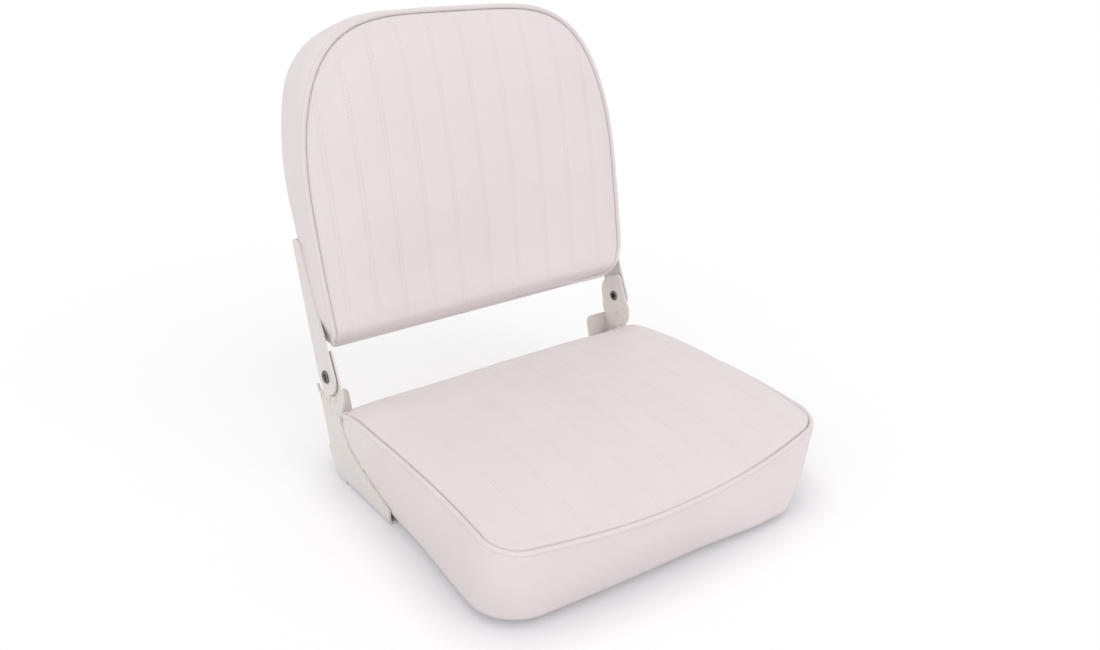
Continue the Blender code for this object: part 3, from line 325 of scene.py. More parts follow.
def puckers(seed, distance, index, loop):
    """Small gathers that run in from a seam, stronger where the seam turns."""
    along = loop_length(loop)[index]
    tight = np.clip(curl_of(loop)[index] / FULL_CURL, 0, 1)
    ripple = noise(seed, 0.0062, along) * 0.6 + noise(seed + 1, 0.017, along) * 0.4
    reach = 0.011 + 0.009 * (1 + noise(seed + 2, 0.030, along)) / 2
    height = (0.16 + 0.75 * tight) * MM
    return height * ripple * np.exp(-(distance / reach) ** 1.4) * (1 - np.exp(-distance / 0.0025))


def uneven(seed, u, v):
    """Slight hollows and dimples of foam under its cover."""
    return HOLLOW * noise_plane(seed, HOLLOW_WAVE, u, v) + DIMPLE * noise_plane(seed + 1, DIMPLE_WAVE, u, v)


def panel_plan(seam, nu, nv):
    """Plan of a panel as far as the groove at its seam."""
    return coons(sides_of(seam - outward_of(seam) * GROOVE, nu, nv))


# Base cushion


def welt_height(x, y):
    """Height of the welt: low at the front, rolling down behind, a little higher at the left front."""
    ahead = WELT_MIDDLE_HEIGHT - (WELT_MIDDLE_HEIGHT - WELT_FRONT_HEIGHT) * (y / SEAT_FRONT) ** 2
    roll = np.clip(y - WELT_SHOULDER, 0, None) / (SEAT_REAR - WELT_SHOULDER)
    behind = WELT_MIDDLE_HEIGHT - (WELT_MIDDLE_HEIGHT - WELT_REAR_HEIGHT) * roll ** 2.5
    lift = WELT_LIFT * smooth(-0.04, -0.19, x) * smooth(0.0, -0.15, y)
    return np.where(y < 0, ahead, behind) + lift


def held_in(plan, heights, free, held):
    """Draws the sides in where the ears press, keeps them off the side plates and flares them ahead."""
    y = plan[..., 1]
    limit = free + (held - free) * smooth(*PINCH_Y, y) * smooth(*PINCH_RISE, heights)
    edge = np.interp(heights, BRACKET_EDGE_Z, BRACKET_EDGE_Y)
    plate = free + (PLATE_LIMIT - free) * smooth(edge - 0.007, edge - 0.0005, y)
    limit = np.minimum(limit, np.maximum(plate, PLATE_LIMIT))
    out = plan.copy()
    flare = 1 + SEAT_FLARE * smooth(BRACKET_FRONT, -SEAT_FRONT, y)
    out[..., 0] = np.clip(plan[..., 0], -limit, limit) * flare
    return out


def seat_sides(half_width, front, rear, bow, front_corner, rear_corner, nu, nv):
    bow_radius = (half_width ** 2 + bow ** 2) / (2 * bow)
    lean = math.asin((half_width - front_corner) / (bow_radius - front_corner))
    turns = np.linspace(0, lean, 40)
    edge = np.stack([bow_radius * np.sin(turns), bow_radius * (1 - np.cos(turns)) - front], 1)
    corner_y = bow_radius - front - (bow_radius - front_corner) * math.cos(lean)
    middle = (lean - PI / 2) / 2
    corner = (half_width - front_corner, corner_y)
    first = np.concatenate([edge, arc(corner, front_corner, lean - PI / 2, middle)[1:]])
    rear_corner_at = (half_width - rear_corner, rear - rear_corner)
    side = np.concatenate([arc(corner, front_corner, middle, 0), arc(rear_corner_at, rear_corner, 0, PI / 4)])
    last = np.concatenate([[(0, rear)], arc(rear_corner_at, rear_corner, PI / 2, PI / 4)])
    return four_sides(first, side, last, nu, nv)


def seat_seam(nu, nv):
    """Loop of the seam between the top panel and the boxing."""
    half_width = SEAT_HALF_WIDTH + SEAM_PROUD
    sides = seat_sides(half_width, SEAT_FRONT + SEAM_PROUD, SEAT_REAR - SEAM_INSET, SEAT_FRONT_BOW,
                       SEAT_FRONT_CORNER, SEAT_REAR_CORNER, nu, nv)
    limit = PINCH_HELD - WELT_RADIUS - SEAM_INSET
    return loop_of([held_in(side, welt_height(*side.T), half_width, limit) for side in sides])


def seat_crown(x, y):
    """Fullness of the top, whose right side is fuller in the middle and lower by the hinge."""
    widest = SEAT_HALF_WIDTH * (1 + SEAT_FLARE)
    left_power = 7 + 5 * smooth(0.03, 0.10, y)
    across = np.clip(1 - (np.abs(x) / widest) ** np.where(x > 0, 13, left_power), 0, None)
    ahead = np.clip(1 - (np.abs(y) / SEAT_FRONT) ** 4, 0, None)
    along = np.where(y < 0, ahead, 1 - smooth(0.085, SEAT_REAR, y))
    right = smooth(0.09, 0.18, x) * (1 - (np.clip(np.abs(x), 0, widest) / widest) ** 20)
    fuller = 0.0055 * right * np.exp(-((y - 0.03) / 0.070) ** 2)
    lower = 0.0045 * right * smooth(0.09, 0.145, y)
    return SEAT_CROWN * across * along + (fuller - lower)


def seat_top_height(plan, seam, detail):
    x, y = plan[..., 0], plan[..., 1]
    z = welt_height(x, y) + seat_crown(x, y)
    if detail:
        distance, index = nearest(plan, seam)
        fade = smooth(0.002, 0.016, distance)
        z = z - SEAT_LINE_DEPTH * channel(x, SEAT_LINES) * fade
        z = z + puckers(11, distance, index, seam)
        z = z + fade * uneven(21, x, y)
    return z


def seat_top_points(nu, nv, detail=True):
    seam = seat_seam(nu, nv)
    plan = panel_plan(seam, nu, nv)
    return np.stack([plan[..., 0], plan[..., 1], seat_top_height(plan, seam, detail)], -1)


def seat_groove(nu, nv, detail):
    """Rings from the top panel's edge down into the seam, beside the welt."""
    seam = seat_seam(nu, nv)
    out = outward_of(seam)
    rings = []
    for inset, drop in GROOVE_STEPS:
        plan = seam - out * inset
        z = seat_top_height(plan, seam, detail) if inset > PANEL_EDGE else welt_height(*seam.T)
        rings.append(np.column_stack([plan, z + drop]))
    return rings


def twisted(plan, share):
    """The cover's slight twist: its lower edge has turned a little against its seam, ahead of the hinges."""
    out = plan.copy()
    ahead = smooth(0.06, -0.12, plan[:, 1])
    out[:, 0] += SEAT_TWIST * share * ahead * (plan[:, 1] - 0.03)
    out[:, 1] -= SEAT_TWIST * share * ahead * plan[:, 0]
    front = smooth(-0.02, -0.17, plan[:, 1])
    out[:, 0] -= SEAT_CORNER_TAPER * share ** 1.25 * smooth(0.05, 0.20, plan[:, 0]) * front
    out[:, 1] -= SEAT_FRONT_REACH * share * smooth(0, 0.12, plan[:, 0]) * front
    facing = outward_of(plan)
    corner = np.clip(facing[:, 0], 0, 1) * np.clip(-facing[:, 1], 0, 1)
    return out - facing * (SEAT_CORNER_CUT * share ** 1.2 * (2 * corner) ** 2)[:, None]


def seat_rings(nu, nv, detail=True):
    """Rings of the boxing from the seam down, under the edge and back over the pan."""
    rings = seat_groove(nu, nv, detail)
    edge_rear = SEAT_REAR - SEAT_REAR_SLANT * (WELT_REAR_HEIGHT - HEM_BOTTOM - SEAT_REAR_EDGE_RADIUS)

    def ring(share, out, rear, heights, inset=0.0):
        """A ring the share of the way down, standing out from the plain wall or moved in from it."""
        bow = SEAT_FRONT_BOW + (SEAT_BOTTOM_BOW - SEAT_FRONT_BOW) * share
        front_corner = SEAT_FRONT_CORNER + (SEAT_BOTTOM_CORNER - SEAT_FRONT_CORNER) * share
        tuck = SEAT_FRONT_TUCK * share
        sides = seat_sides(SEAT_HALF_WIDTH + out - inset, SEAT_FRONT + out - tuck - inset, rear, bow,
                           front_corner - inset * 0.3, SEAT_REAR_CORNER, nu, nv)
        plan = loop_of(sides)
        z = heights(*plan.T)
        plan = held_in(plan, z, SEAT_HALF_WIDTH + out - inset, PINCH_HELD - inset)
        if detail:
            plan = plan + outward_of(plan) * band_creases(plan, share)[:, None]
        rings.append(np.column_stack([twisted(plan, share), z]))

    def edge_heights(drop):
        side_z = HEM_BOTTOM + SEAT_EDGE_RADIUS * drop
        rear_z = HEM_BOTTOM + SEAT_REAR_EDGE_RADIUS * drop
        return lambda x, y: side_z + (rear_z - side_z) * smooth(0, SEAT_REAR, y)

    low = edge_heights(1.0)
    for share in np.linspace(0, 1, BOXING_RINGS + 2)[1:-1] ** 1.15:
        flush = SEAT_FLUSH * (1 - share) * float(smooth(0, 0.03, share))
        out = SEAT_BULGE * math.sin(PI * share ** 1.3) + flush
        rear = SEAT_REAR * (1 - share) + edge_rear * share
        ring(share * WALL_SHARE, out, rear, lambda x, y: welt_height(x, y) * (1 - share) + low(x, y) * share)
    for angle in np.linspace(0, PI / 2, EDGE_RINGS):
        turn_in = 1 - math.cos(angle)
        drop = 1 - math.sin(angle)
        rear_z = HEM_BOTTOM + SEAT_REAR_EDGE_RADIUS * drop
        rear = SEAT_REAR - SEAT_REAR_EDGE_RADIUS * turn_in - SEAT_REAR_SLANT * (WELT_REAR_HEIGHT - rear_z)
        share = WALL_SHARE + 0.15 * math.sin(angle)
        ring(share, 0, rear, edge_heights(drop), SEAT_EDGE_RADIUS * turn_in)
    hem, pan = PAN_INSET + SEAT_HEM, PAN_INSET - PAN_GAP
    pan_top = FRAME_TOP + FRAME_GAP
    for inset, height, turned in ((hem, HEM_BOTTOM, HEM_TURN), (hem, HEM_TOP, HEM_TURN),
                                  (pan, HEM_TOP, 0), (pan, pan_top, 0), (0.10, pan_top, 0)):
        plan = twisted(loop_of(pan_sides(inset, nu, nv)), turned)
        rings.append(np.column_stack([plan, np.full(len(plan), height)]))
    return rings


def pan_sides(inset, nu, nv):
    """Plan of the underside, moved in from the boxing."""
    slant = SEAT_REAR_SLANT * (WELT_REAR_HEIGHT - HEM_BOTTOM)
    rear = SEAT_REAR - SEAT_REAR_EDGE_RADIUS - slant - inset + PAN_INSET
    return seat_sides(SEAT_HALF_WIDTH - inset, SEAT_FRONT - SEAT_FRONT_TUCK - inset, rear, SEAT_BOTTOM_BOW,
                      SEAT_BOTTOM_CORNER, SEAT_REAR_CORNER, nu, nv)


def band_creases(plan, share):
    """Relief of the boxing: draw lines under the welt by the left hinge, gathers at the front corners."""
    x, y = plan.T
    along = loop_length(plan)
    left = smooth(-0.15, -0.19, x)
    out = 0
    for middle, depth, reach in CREASES:
        line = depth + 0.9 * (y - middle)
        out = out - 0.55 * MM * left * np.exp(-((share - line) / 0.035) ** 2 - ((y - middle) / reach) ** 2)
    tight = np.clip(curl_of(plan) / FULL_CURL, 0, 1) * (y < 0)
    gather = np.exp(-((share - 0.06) / 0.10) ** 2)
    out = out + 0.5 * MM * tight * noise(71, 0.008, along) * gather
    wave = noise(72, 0.06, along + 0.25 * share)
    return out + BAND_WAVE_DEPTH * wave * math.sin(PI * min(1.0, share))


# Back cushion


def to_seat(points):
    """From the back's leaning frame to the seat's."""
    points = np.asarray(points, float)
    y = points[..., 1] * math.cos(LEAN) + points[..., 2] * math.sin(LEAN)
    z = -points[..., 1] * math.sin(LEAN) + points[..., 2] * math.cos(LEAN)
    return np.stack([points[..., 0], y, z], -1) + PIVOT


def back_half_width(rise, inset=0.0):
    """Half the width at a rise above the bottom."""
    widest = BACK_HALF_WIDTH - inset
    rise = np.asarray(rise, float)
    low = widest - BACK_BOTTOM_TAPER * ((BACK_WIDEST - rise) / BACK_WIDEST) ** 2
    share = np.clip((rise - BACK_WIDEST) / (BACK_HEIGHT - inset - BACK_WIDEST), 0, 1)
    high = widest * (1 - share ** BACK_TOP_RISE_POWER) ** (1 / BACK_TOP_SIDE_POWER)
    return np.where(rise <= BACK_WIDEST, low, high)


def plain_back_sides(inset, nu, nv):
    corner = max(BACK_BOTTOM_CORNER - inset, 0.008)
    low = BACK_BOTTOM + inset
    corner_top = inset + corner
    width = float(back_half_width(corner_top, inset))
    at = (width - corner, low + corner)
    first = np.concatenate([[(0, low)], arc(at, corner, -PI / 2, -PI / 4)])
    rises = np.linspace(corner_top, BACK_WIDEST, 30)
    lower = np.stack([back_half_width(rises, inset), BACK_BOTTOM + rises], 1)
    turns = PI / 2 * (1 - (1 - np.linspace(0, 1, 160)) ** 1.8)
    top = BACK_HEIGHT - inset - BACK_WIDEST
    dome = np.stack([(BACK_HALF_WIDTH - inset) * np.clip(np.cos(turns), 0, 1) ** (2 / BACK_TOP_SIDE_POWER),
                     BACK_BOTTOM + BACK_WIDEST + top * np.sin(turns) ** (2 / BACK_TOP_RISE_POWER)], 1)
    split = int(np.argmin(np.abs(dome[:, 1] - BACK_BOTTOM - BACK_WIDEST - 0.78 * top)))
    side = np.concatenate([arc(at, corner, -PI / 4, 0), lower[1:], dome[1:split + 1]])
    last = dome[split:][::-1]
    return four_sides(first, side, last, nu, nv)


def back_sides(inset, nu, nv):
    """The outline, its right lower corner drawn in further than its left one."""
    sides = []
    for side in plain_back_sides(inset, nu, nv):
        side = side.copy()
        low = smooth(0.042, -0.004, side[:, 1] - BACK_BOTTOM) * smooth(0.10, 0.20, side[:, 0])
        side[:, 0] -= BACK_LOWER_DRAW * low
        sides.append(side)
    return sides


def back_loop(inset, nu, nv):
    return loop_of(back_sides(inset, nu, nv))


def back_seam(z):
    """Depth of the front seam, which rolls back at the bottom."""
    depth = BACK_DEPTH_BOTTOM + (BACK_DEPTH_TOP - BACK_DEPTH_BOTTOM) * (z - BACK_BOTTOM) / BACK_HEIGHT
    roll = np.clip(1 - (z - BACK_BOTTOM) / BACK_ROLL_HEIGHT, 0, None) ** 2
    return BACK_REAR - depth + BACK_ROLL * roll


def back_crown(x, z):
    """Fullness of the front, flatter below to leave room for the seat when folded."""
    rise = np.clip(z - BACK_BOTTOM, 0, BACK_HEIGHT)
    half_width = np.clip(back_half_width(rise), 0.02, None)
    across = np.clip(1 - (np.abs(x) / half_width) ** 5, 0, None)
    away = np.abs(2 * rise / BACK_HEIGHT - 1)
    fall = np.where(rise < BACK_HEIGHT / 2, away ** 20, away ** 4)
    along = np.clip(1 - fall, 0, None)
    folded_room = 1 - BACK_LOW_FLATTER * (1 - smooth(0.045, 0.165, rise))
    return BACK_CROWN * across * along * folded_room


def back_bulge(z):
    """How far the upper rear stands behind the plane of the hinge arms."""
    return BACK_BULGE * smooth(0.150, 0.290, z)


def back_swell(z):
    """How far the boxing stands out to the hinge arms, above their lower gap."""
    plain = back_half_width(z - BACK_BOTTOM)
    to_arm = np.clip(ARM_FACE - plain, 0, None) * smooth(0.036, 0.075, z)
    return np.where(z < BACK_BOTTOM + BACK_WIDEST, to_arm, ARM_FACE - BACK_HALF_WIDTH)


def back_front_depth(plan, seam, detail):
    x, z = plan[..., 0], plan[..., 1]
    y = back_seam(z) - back_crown(x, z)
    if detail:
        distance, index = nearest(plan, seam)
        fade = smooth(0.002, 0.018, distance)
        y = y + BACK_LINE_DEPTH * channel(x, BACK_LINES) * fade
        y = y - puckers(31, distance, index, seam)
        left = smooth(0.02, -0.12, seam[index][..., 0])
        y = y + 1.3 * MM * left * np.exp(-((distance - 0.020) / 0.009) ** 2)
        y = y + fade * uneven(41, x, z)
    return y


def back_front_points(nu, nv, detail=True):
    seam = back_loop(-SEAM_PROUD, nu, nv)
    plan = panel_plan(seam, nu, nv)
    return np.stack([plan[..., 0], back_front_depth(plan, seam, detail), plan[..., 1]], -1)


def back_groove(nu, nv, detail):
    """Rings from the front panel's edge into the seam, beside the welt, deeper along the bottom."""
    seam = back_loop(-SEAM_PROUD, nu, nv)
    out = outward_of(seam)
    deep = 0.6 + 0.6 * smooth(-0.3, -0.8, out[:, 1])
    rings = []
    for inset, drop in GROOVE_STEPS:
        plan = seam - out * inset
        y = back_front_depth(plan, seam, detail) if inset > PANEL_EDGE else back_seam(seam[:, 1])
        rings.append(np.column_stack([plan[:, 0], y - deep * drop, plan[:, 1]]))
    return rings


def back_rings(nu, nv, detail=True):
    """Rings of the boxing from the front seam to the rear, under its edge and over the board."""
    rings = back_groove(nu, nv, detail)

    def ring(inset, depth, swell=0.0):
        plan = back_loop(inset, nu, nv)
        out = outward_of(plan)
        z = plan[:, 1]
        if swell:
            shoulder = BACK_SHOULDER * smooth(0.15, 0.6, out[:, 1]) * smooth(0.02, -0.10, plan[:, 0])
            plan = plan + out * (swell * (back_swell(z) * np.abs(out[:, 0]) + shoulder))[:, None]
        if detail and swell:
            wave = noise(81, 0.05, loop_length(plan))
            plan = plan + out * (BAND_WAVE_DEPTH * swell * wave)[:, None]
        rings.append(np.column_stack([plan[:, 0], depth(z), plan[:, 1]]))

    edge = BACK_HEM_REAR - BACK_EDGE_RADIUS
    for share in np.linspace(0, 1, BOXING_RINGS + 2)[1:-1]:
        flush = -BACK_FLUSH * (1 - share) * float(smooth(0, 0.06, share))
        full = math.sin(PI * min(0.5, share * 1.2)) ** 0.7
        ring(flush, lambda z: back_seam(z) * (1 - share) + (edge + back_bulge(z)) * share, full)
    for angle in np.linspace(0, PI / 2, EDGE_RINGS):
        ring(BACK_EDGE_RADIUS * (1 - math.cos(angle)),
             lambda z: edge + back_bulge(z) + BACK_EDGE_RADIUS * math.sin(angle), math.cos(angle))
    hem, board = BACK_EDGE_RADIUS + BACK_HEM, BACK_EDGE_RADIUS - FRAME_GAP
    for inset, depth in ((hem, BACK_HEM_REAR), (hem, BACK_HEM_FRONT), (board, BACK_HEM_FRONT)):
        ring(inset, lambda z: depth + back_bulge(z))
    for inset in (board, 0.09):
        ring(inset, lambda z: np.full_like(z, BACK_FRAME_FRONT - FRAME_GAP))
    return rings


# Meshes


def new_piece(name, points, faces):
    mesh = bpy.data.meshes.new(name)
    mesh.from_pydata(np.asarray(points).tolist(), [], faces)
    mesh.update()
    mesh.shade_smooth()
    made = bpy.data.objects.new(name, mesh)
    bpy.context.scene.collection.objects.link(made)
    return made


def cushion_mesh(name, top, rings, middle):
    """A closed cushion: the patch, the rings round it and a fan that closes its hidden side."""
    rows, columns = top.shape[:2]
    ids = np.arange(rows * columns).reshape(rows, columns)
    loop = np.concatenate([ids[0, :-1], ids[:-1, -1], ids[-1, ::-1][:-1], ids[::-1, 0][:-1]])
    quads = [np.stack([ids[:-1, :-1], ids[:-1, 1:], ids[1:, 1:], ids[1:, :-1]], -1).reshape(-1, 4)]
    count = rows * columns
    for _ in rings:
        below = np.arange(count, count + len(loop))
        quads.append(np.stack([below, np.roll(below, -1), np.roll(loop, -1), loop], 1))
        loop, count = below, count + len(loop)
    fan = np.stack([np.full(len(loop), count), np.roll(loop, -1), loop], 1)
    points = np.concatenate([top.reshape(-1, 3), *rings, [middle]])
    return new_piece(name, points, np.concatenate(quads).tolist() + fan.tolist())


def finer_grid(values):
    """A coarse grid of vectors, interpolated to the fine one."""
    for axis in (0, 1):
        size = values.shape[axis]
        place = np.linspace(0, size - 1, (size - 1) * FINER + 1)
        low = np.minimum(place.astype(int), size - 2)
        share = (place - low).reshape((-1, 1, 1) if axis == 0 else (1, -1, 1))
        values = values.take(low, axis) * (1 - share) + values.take(low + 1, axis) * share
    return values


def finer_loop(values):
    """A coarse loop of vectors, interpolated to the fine one."""
    share = np.arange(FINER)[None, :, None] / FINER
    return (values[:, None] * (1 - share) + np.roll(values, -1, 0)[:, None] * share).reshape(-1, 3)


def held_parts(panel, seam, lines, rings, pressed):
    """How firmly each point of a coarse cushion is held: by its sewing, its seams and the hinges."""
    hold = np.exp(-(from_line(panel[..., 0], lines) / LINE_HOLD) ** 2)
    distance, _ = nearest(panel, seam)
    ring_hold = []
    for number, ring in enumerate(rings):
        share = (number - len(GROOVE_STEPS)) / (BOXING_RINGS - 1)
        sewn_down = 1 - smooth(0, 0.12, share) + smooth(0.85, 1, share)
        ring_hold.append(np.maximum(pressed(ring), sewn_down))
    return np.maximum(hold, 1 - smooth(*SEAM_HOLD, distance)), ring_hold


def swollen(name, fine, fine_rings, top, rings, middle, top_hold, ring_hold):
    """The fine cushion, moved as air pressure moves the coarse one in a cloth simulation."""
    made = cushion_mesh(name, top, rings, middle)
    held = made.vertex_groups.new(name="held")
    weights = np.round(np.concatenate([top_hold.ravel(), *ring_hold, [1.0]]), 2)
    for level in np.unique(weights[weights > 0]):
        held.add(np.flatnonzero(weights == level).tolist(), float(level), "REPLACE")
    cloth = made.modifiers.new("cloth", "CLOTH")
    settings = cloth.settings
    settings.quality = 5
    settings.mass = 0.3
    settings.tension_stiffness = 12
    settings.compression_stiffness = 12
    settings.shear_stiffness = 4
    settings.bending_stiffness = 0.3
    settings.use_pressure = True
    settings.uniform_pressure_force = 4
    settings.vertex_group_mass = "held"
    settings.effector_weights.gravity = 0
    cloth.point_cache.frame_start = 1
    cloth.point_cache.frame_end = SWELL_FRAMES
    for step in range(1, SWELL_FRAMES + 1):
        bpy.context.scene.frame_set(step)
    shown = made.evaluated_get(bpy.context.evaluated_depsgraph_get()).data
    after = np.empty(len(shown.vertices) * 3)
    shown.vertices.foreach_get("co", after)
    moved = after.reshape(-1, 3) - np.concatenate([top.reshape(-1, 3), *rings, [middle]])
    moved *= min(1.0, SWELL_CAP / max(np.linalg.norm(moved, axis=1).max(), 1e-9))
    mesh = made.data
    bpy.data.objects.remove(made)
    bpy.data.meshes.remove(mesh)
    bpy.context.scene.frame_set(1)
    count = top.shape[0] * top.shape[1]
    ring_moves = moved[count:-1].reshape(len(rings), -1, 3)
    fine = fine + finer_grid(moved[:count].reshape(top.shape))
    return fine, [ring + finer_loop(step) for ring, step in zip(fine_rings, ring_moves)]


def tube(name, points, material):
    """A closed tube through rings of points, the last ring joined to the first."""
    count, sides = points.shape[:2]
    ids = np.arange(count * sides).reshape(count, sides)
    ahead = np.roll(ids, -1, 0)
    quads = np.stack([ids, ahead, np.roll(ahead, -1, 1), np.roll(ids, -1, 1)], -1).reshape(-1, 4)
    made = new_piece(name, points.reshape(-1, 3), quads.tolist())
    bm = bmesh.new()
    bm.from_mesh(made.data)
    bmesh.ops.recalc_face_normals(bm, faces=bm.faces)
    bm.to_mesh(made.data)
    bm.free()
    made.data.materials.append(material)
    return made


def piping(name, loop, out, up):
    """The welt's cord along a closed loop of points, from outward and upward directions at each point."""
    turns = np.linspace(0, 2 * PI, 14, endpoint=False)
    ring = (np.cos(turns)[None, :, None] * out[:, None] + np.sin(turns)[None, :, None] * up[:, None])
    wobble = 1 + 0.03 * noise(5, 0.02, loop_length(loop))[:, None, None]
    return tube(name, loop[:, None] + WELT_RADIUS * wobble * ring, PIPING)


def threads(name, starts, ends, up, radius, lift, material):
    """Short rounded lengths of thread or wire that dip into the surface at both ends."""
    starts, ends, up = np.array(starts), np.array(ends), np.array(up)
    ahead = ends - starts
    side = np.cross(ahead, up)
    side /= np.linalg.norm(side, axis=1)[:, None]
    points, faces = [], []
    turns = np.linspace(0, 2 * PI, THREAD_SIDES, endpoint=False)
    for share, width, rise in THREAD_PROFILE:
        middle = starts + ahead * share + up * (lift + radius * rise)
        for turn in turns:
            points.append(middle + radius * width * (math.cos(turn) * side + math.sin(turn) * up))
    count = len(starts)
    order = np.arange(len(points)).reshape(-1, THREAD_SIDES) * count
    low, high = order[:-1], order[1:]
    quads = np.stack([low, high, np.roll(high, -1, 1), np.roll(low, -1, 1)], -1).reshape(-1, 4)
    caps = [order[0].tolist(), order[-1][::-1].tolist()]
    for number in range(count):
        faces += (quads + number).tolist()
        faces += [[corner + number for corner in cap] for cap in caps]
    made = new_piece(name, np.concatenate(points), faces)
    made.data.materials.append(material)
    return made


def sewn(name, piece, rows, cast, thread):
    """Stitches along rows of places on the piece, each found by casting towards it."""
    mesh = piece.data
    tree = BVHTree.FromPolygons([v.co for v in mesh.vertices], [p.vertices for p in mesh.polygons])
    starts, ends, up = [], [], []
    for places in rows:
        for first, second in places:
            begin, end = tree.ray_cast(*cast(*first)), tree.ray_cast(*cast(*second))
            if begin[0] is not None and end[0] is not None and (begin[0] - end[0]).length < 2 * STITCH:
                starts.append(begin[0])
                ends.append(end[0])
                up.append((begin[1] + end[1]).normalized())
    return threads(name, starts, ends, up, THREAD_RADIUS, THREAD_LIFT, thread)


def stitch_row(line, low, high, number, row):
    """Ends of the stitches of one straight row, staggered against its neighbours."""
    offset = 0.13 * number + 0.25 * row
    places = np.arange(low + STITCH_PITCH * offset, high - STITCH, STITCH_PITCH)
    return [((line, place), (line, place + STITCH)) for place in places]


# Materials


def node_material(name):
    made = bpy.data.materials.new(name)
    made.use_nodes = True
    tree = made.node_tree
    return made, tree, tree.nodes["Principled BSDF"], add(tree, "TexCoord")


def add(tree, kind, **sockets):
    """A new node with the values of its sockets, named with _ for a space."""
    node = tree.nodes.new("ShaderNode" + kind)
    for name, value in sockets.items():
        node.inputs[name.replace("_", " ")].default_value = value
    return node


def wire(tree, node, **sockets):
    """Links outputs to the node's sockets."""
    for name, value in sockets.items():
        tree.links.new(value, node.inputs[name.replace("_", " ")])


def textured(tree, where, kind, **sockets):
    node = add(tree, kind, **sockets)
    wire(tree, node, Vector=where.outputs["Object"])
    return node


def clouds(tree, where, **sockets):
    return textured(tree, where, "TexNoise", **sockets).outputs["Fac"]


def mixed(tree, factor, first, second, low=0.3, high=0.7):
    ramp = add(tree, "ValToRGB")
    for element, colour, position in zip(ramp.color_ramp.elements, (first, second), (low, high)):
        element.color = (*colour, 1)
        element.position = position
    wire(tree, ramp, Fac=factor)
    return ramp.outputs["Color"]


def ranged(tree, value, **limits):
    node = add(tree, "MapRange", **limits)
    wire(tree, node, Value=value)
    return node.outputs["Result"]


def bump(tree, height, **amounts):
    node = add(tree, "Bump", **amounts)
    wire(tree, node, Height=height)
    return node


def combined(tree, operation, first, second):
    node = add(tree, "Math")
    node.operation = operation
    tree.links.new(first, node.inputs[0])
    tree.links.new(second, node.inputs[1])
    return node.outputs[0]


def vinyl(name, light, dark, roughness):
    made, tree, shader, where = node_material(name)
    cloud = clouds(tree, where, Scale=14.0, Detail=3.0, Roughness=0.6)
    pebble = textured(tree, where, "TexVoronoi", Scale=820.0, Randomness=0.9)
    pebble.feature = "SMOOTH_F1"
    pore = clouds(tree, where, Scale=2100.0, Detail=2.0)
    grain = bump(tree, pebble.outputs["Distance"], Distance=0.00025, Strength=0.22)
    fine = bump(tree, pore, Distance=0.0001, Strength=0.15)
    wire(tree, fine, Normal=grain.outputs["Normal"])
    wire(tree, shader, Base_Color=mixed(tree, cloud, dark, light), Normal=fine.outputs["Normal"],
         Roughness=ranged(tree, pore, To_Min=roughness - 0.06, To_Max=roughness + 0.08))
    shader.inputs["Specular IOR Level"].default_value = 0.38
    return made


def paint(name, light, dark, worn):
    """Stove paint with slight orange peel, rubbed darker along its edges."""
    made, tree, shader, where = node_material(name)
    cloud = clouds(tree, where, Scale=22.0, Detail=4.0)
    peel = clouds(tree, where, Scale=520.0, Detail=1.0)
    rub = clouds(tree, where, Scale=150.0, Detail=4.0)
    facing = add(tree, "NewGeometry")
    rounded = add(tree, "Bevel", Radius=0.0011)
    along = add(tree, "VectorMath")
    along.operation = "DOT_PRODUCT"
    tree.links.new(facing.outputs["Normal"], along.inputs[0])
    tree.links.new(rounded.outputs["Normal"], along.inputs[1])
    edge = ranged(tree, along.outputs["Value"], From_Min=0.98, From_Max=0.85)
    blend = add(tree, "Mix")
    blend.data_type = "RGBA"
    blend.inputs["B"].default_value = (*worn, 1)
    patches = ranged(tree, rub, To_Min=-0.25, To_Max=0.95)
    wire(tree, blend, Factor=combined(tree, "MULTIPLY", edge, patches), A=mixed(tree, cloud, dark, light))
    wire(tree, shader, Base_Color=blend.outputs["Result"],
         Roughness=ranged(tree, cloud, To_Min=0.30, To_Max=0.42),
         Normal=bump(tree, peel, Distance=0.0002, Strength=0.25).outputs["Normal"])
    return made


def grained(name, light, dark, least, most, cloud_scale, grain_scale, detail, depth, strength):
    """Clouded colour and a fine grain."""
    made, tree, shader, where = node_material(name)
    cloud = clouds(tree, where, Scale=cloud_scale, Detail=4.0)
    grain = clouds(tree, where, Scale=grain_scale, Detail=detail)
    wire(tree, shader, Base_Color=mixed(tree, cloud, dark, light),
         Roughness=ranged(tree, grain, To_Min=least, To_Max=most),
         Normal=bump(tree, grain, Distance=depth, Strength=strength).outputs["Normal"])
    return made, shader


def metal(name, light, dark, roughness):
    made, shader = grained(name, light, dark, roughness - 0.08, roughness + 0.1, cloud_scale=260.0,
                           grain_scale=1400.0, detail=2.0, depth=0.00008, strength=0.3)
    shader.inputs["Metallic"].default_value = 1.0
    return made


def plastic(name, light, dark, roughness):
    return grained(name, light, dark, roughness - 0.07, roughness + 0.1, cloud_scale=30.0,
                   grain_scale=1100.0, detail=3.0, depth=0.00015, strength=0.4)[0]


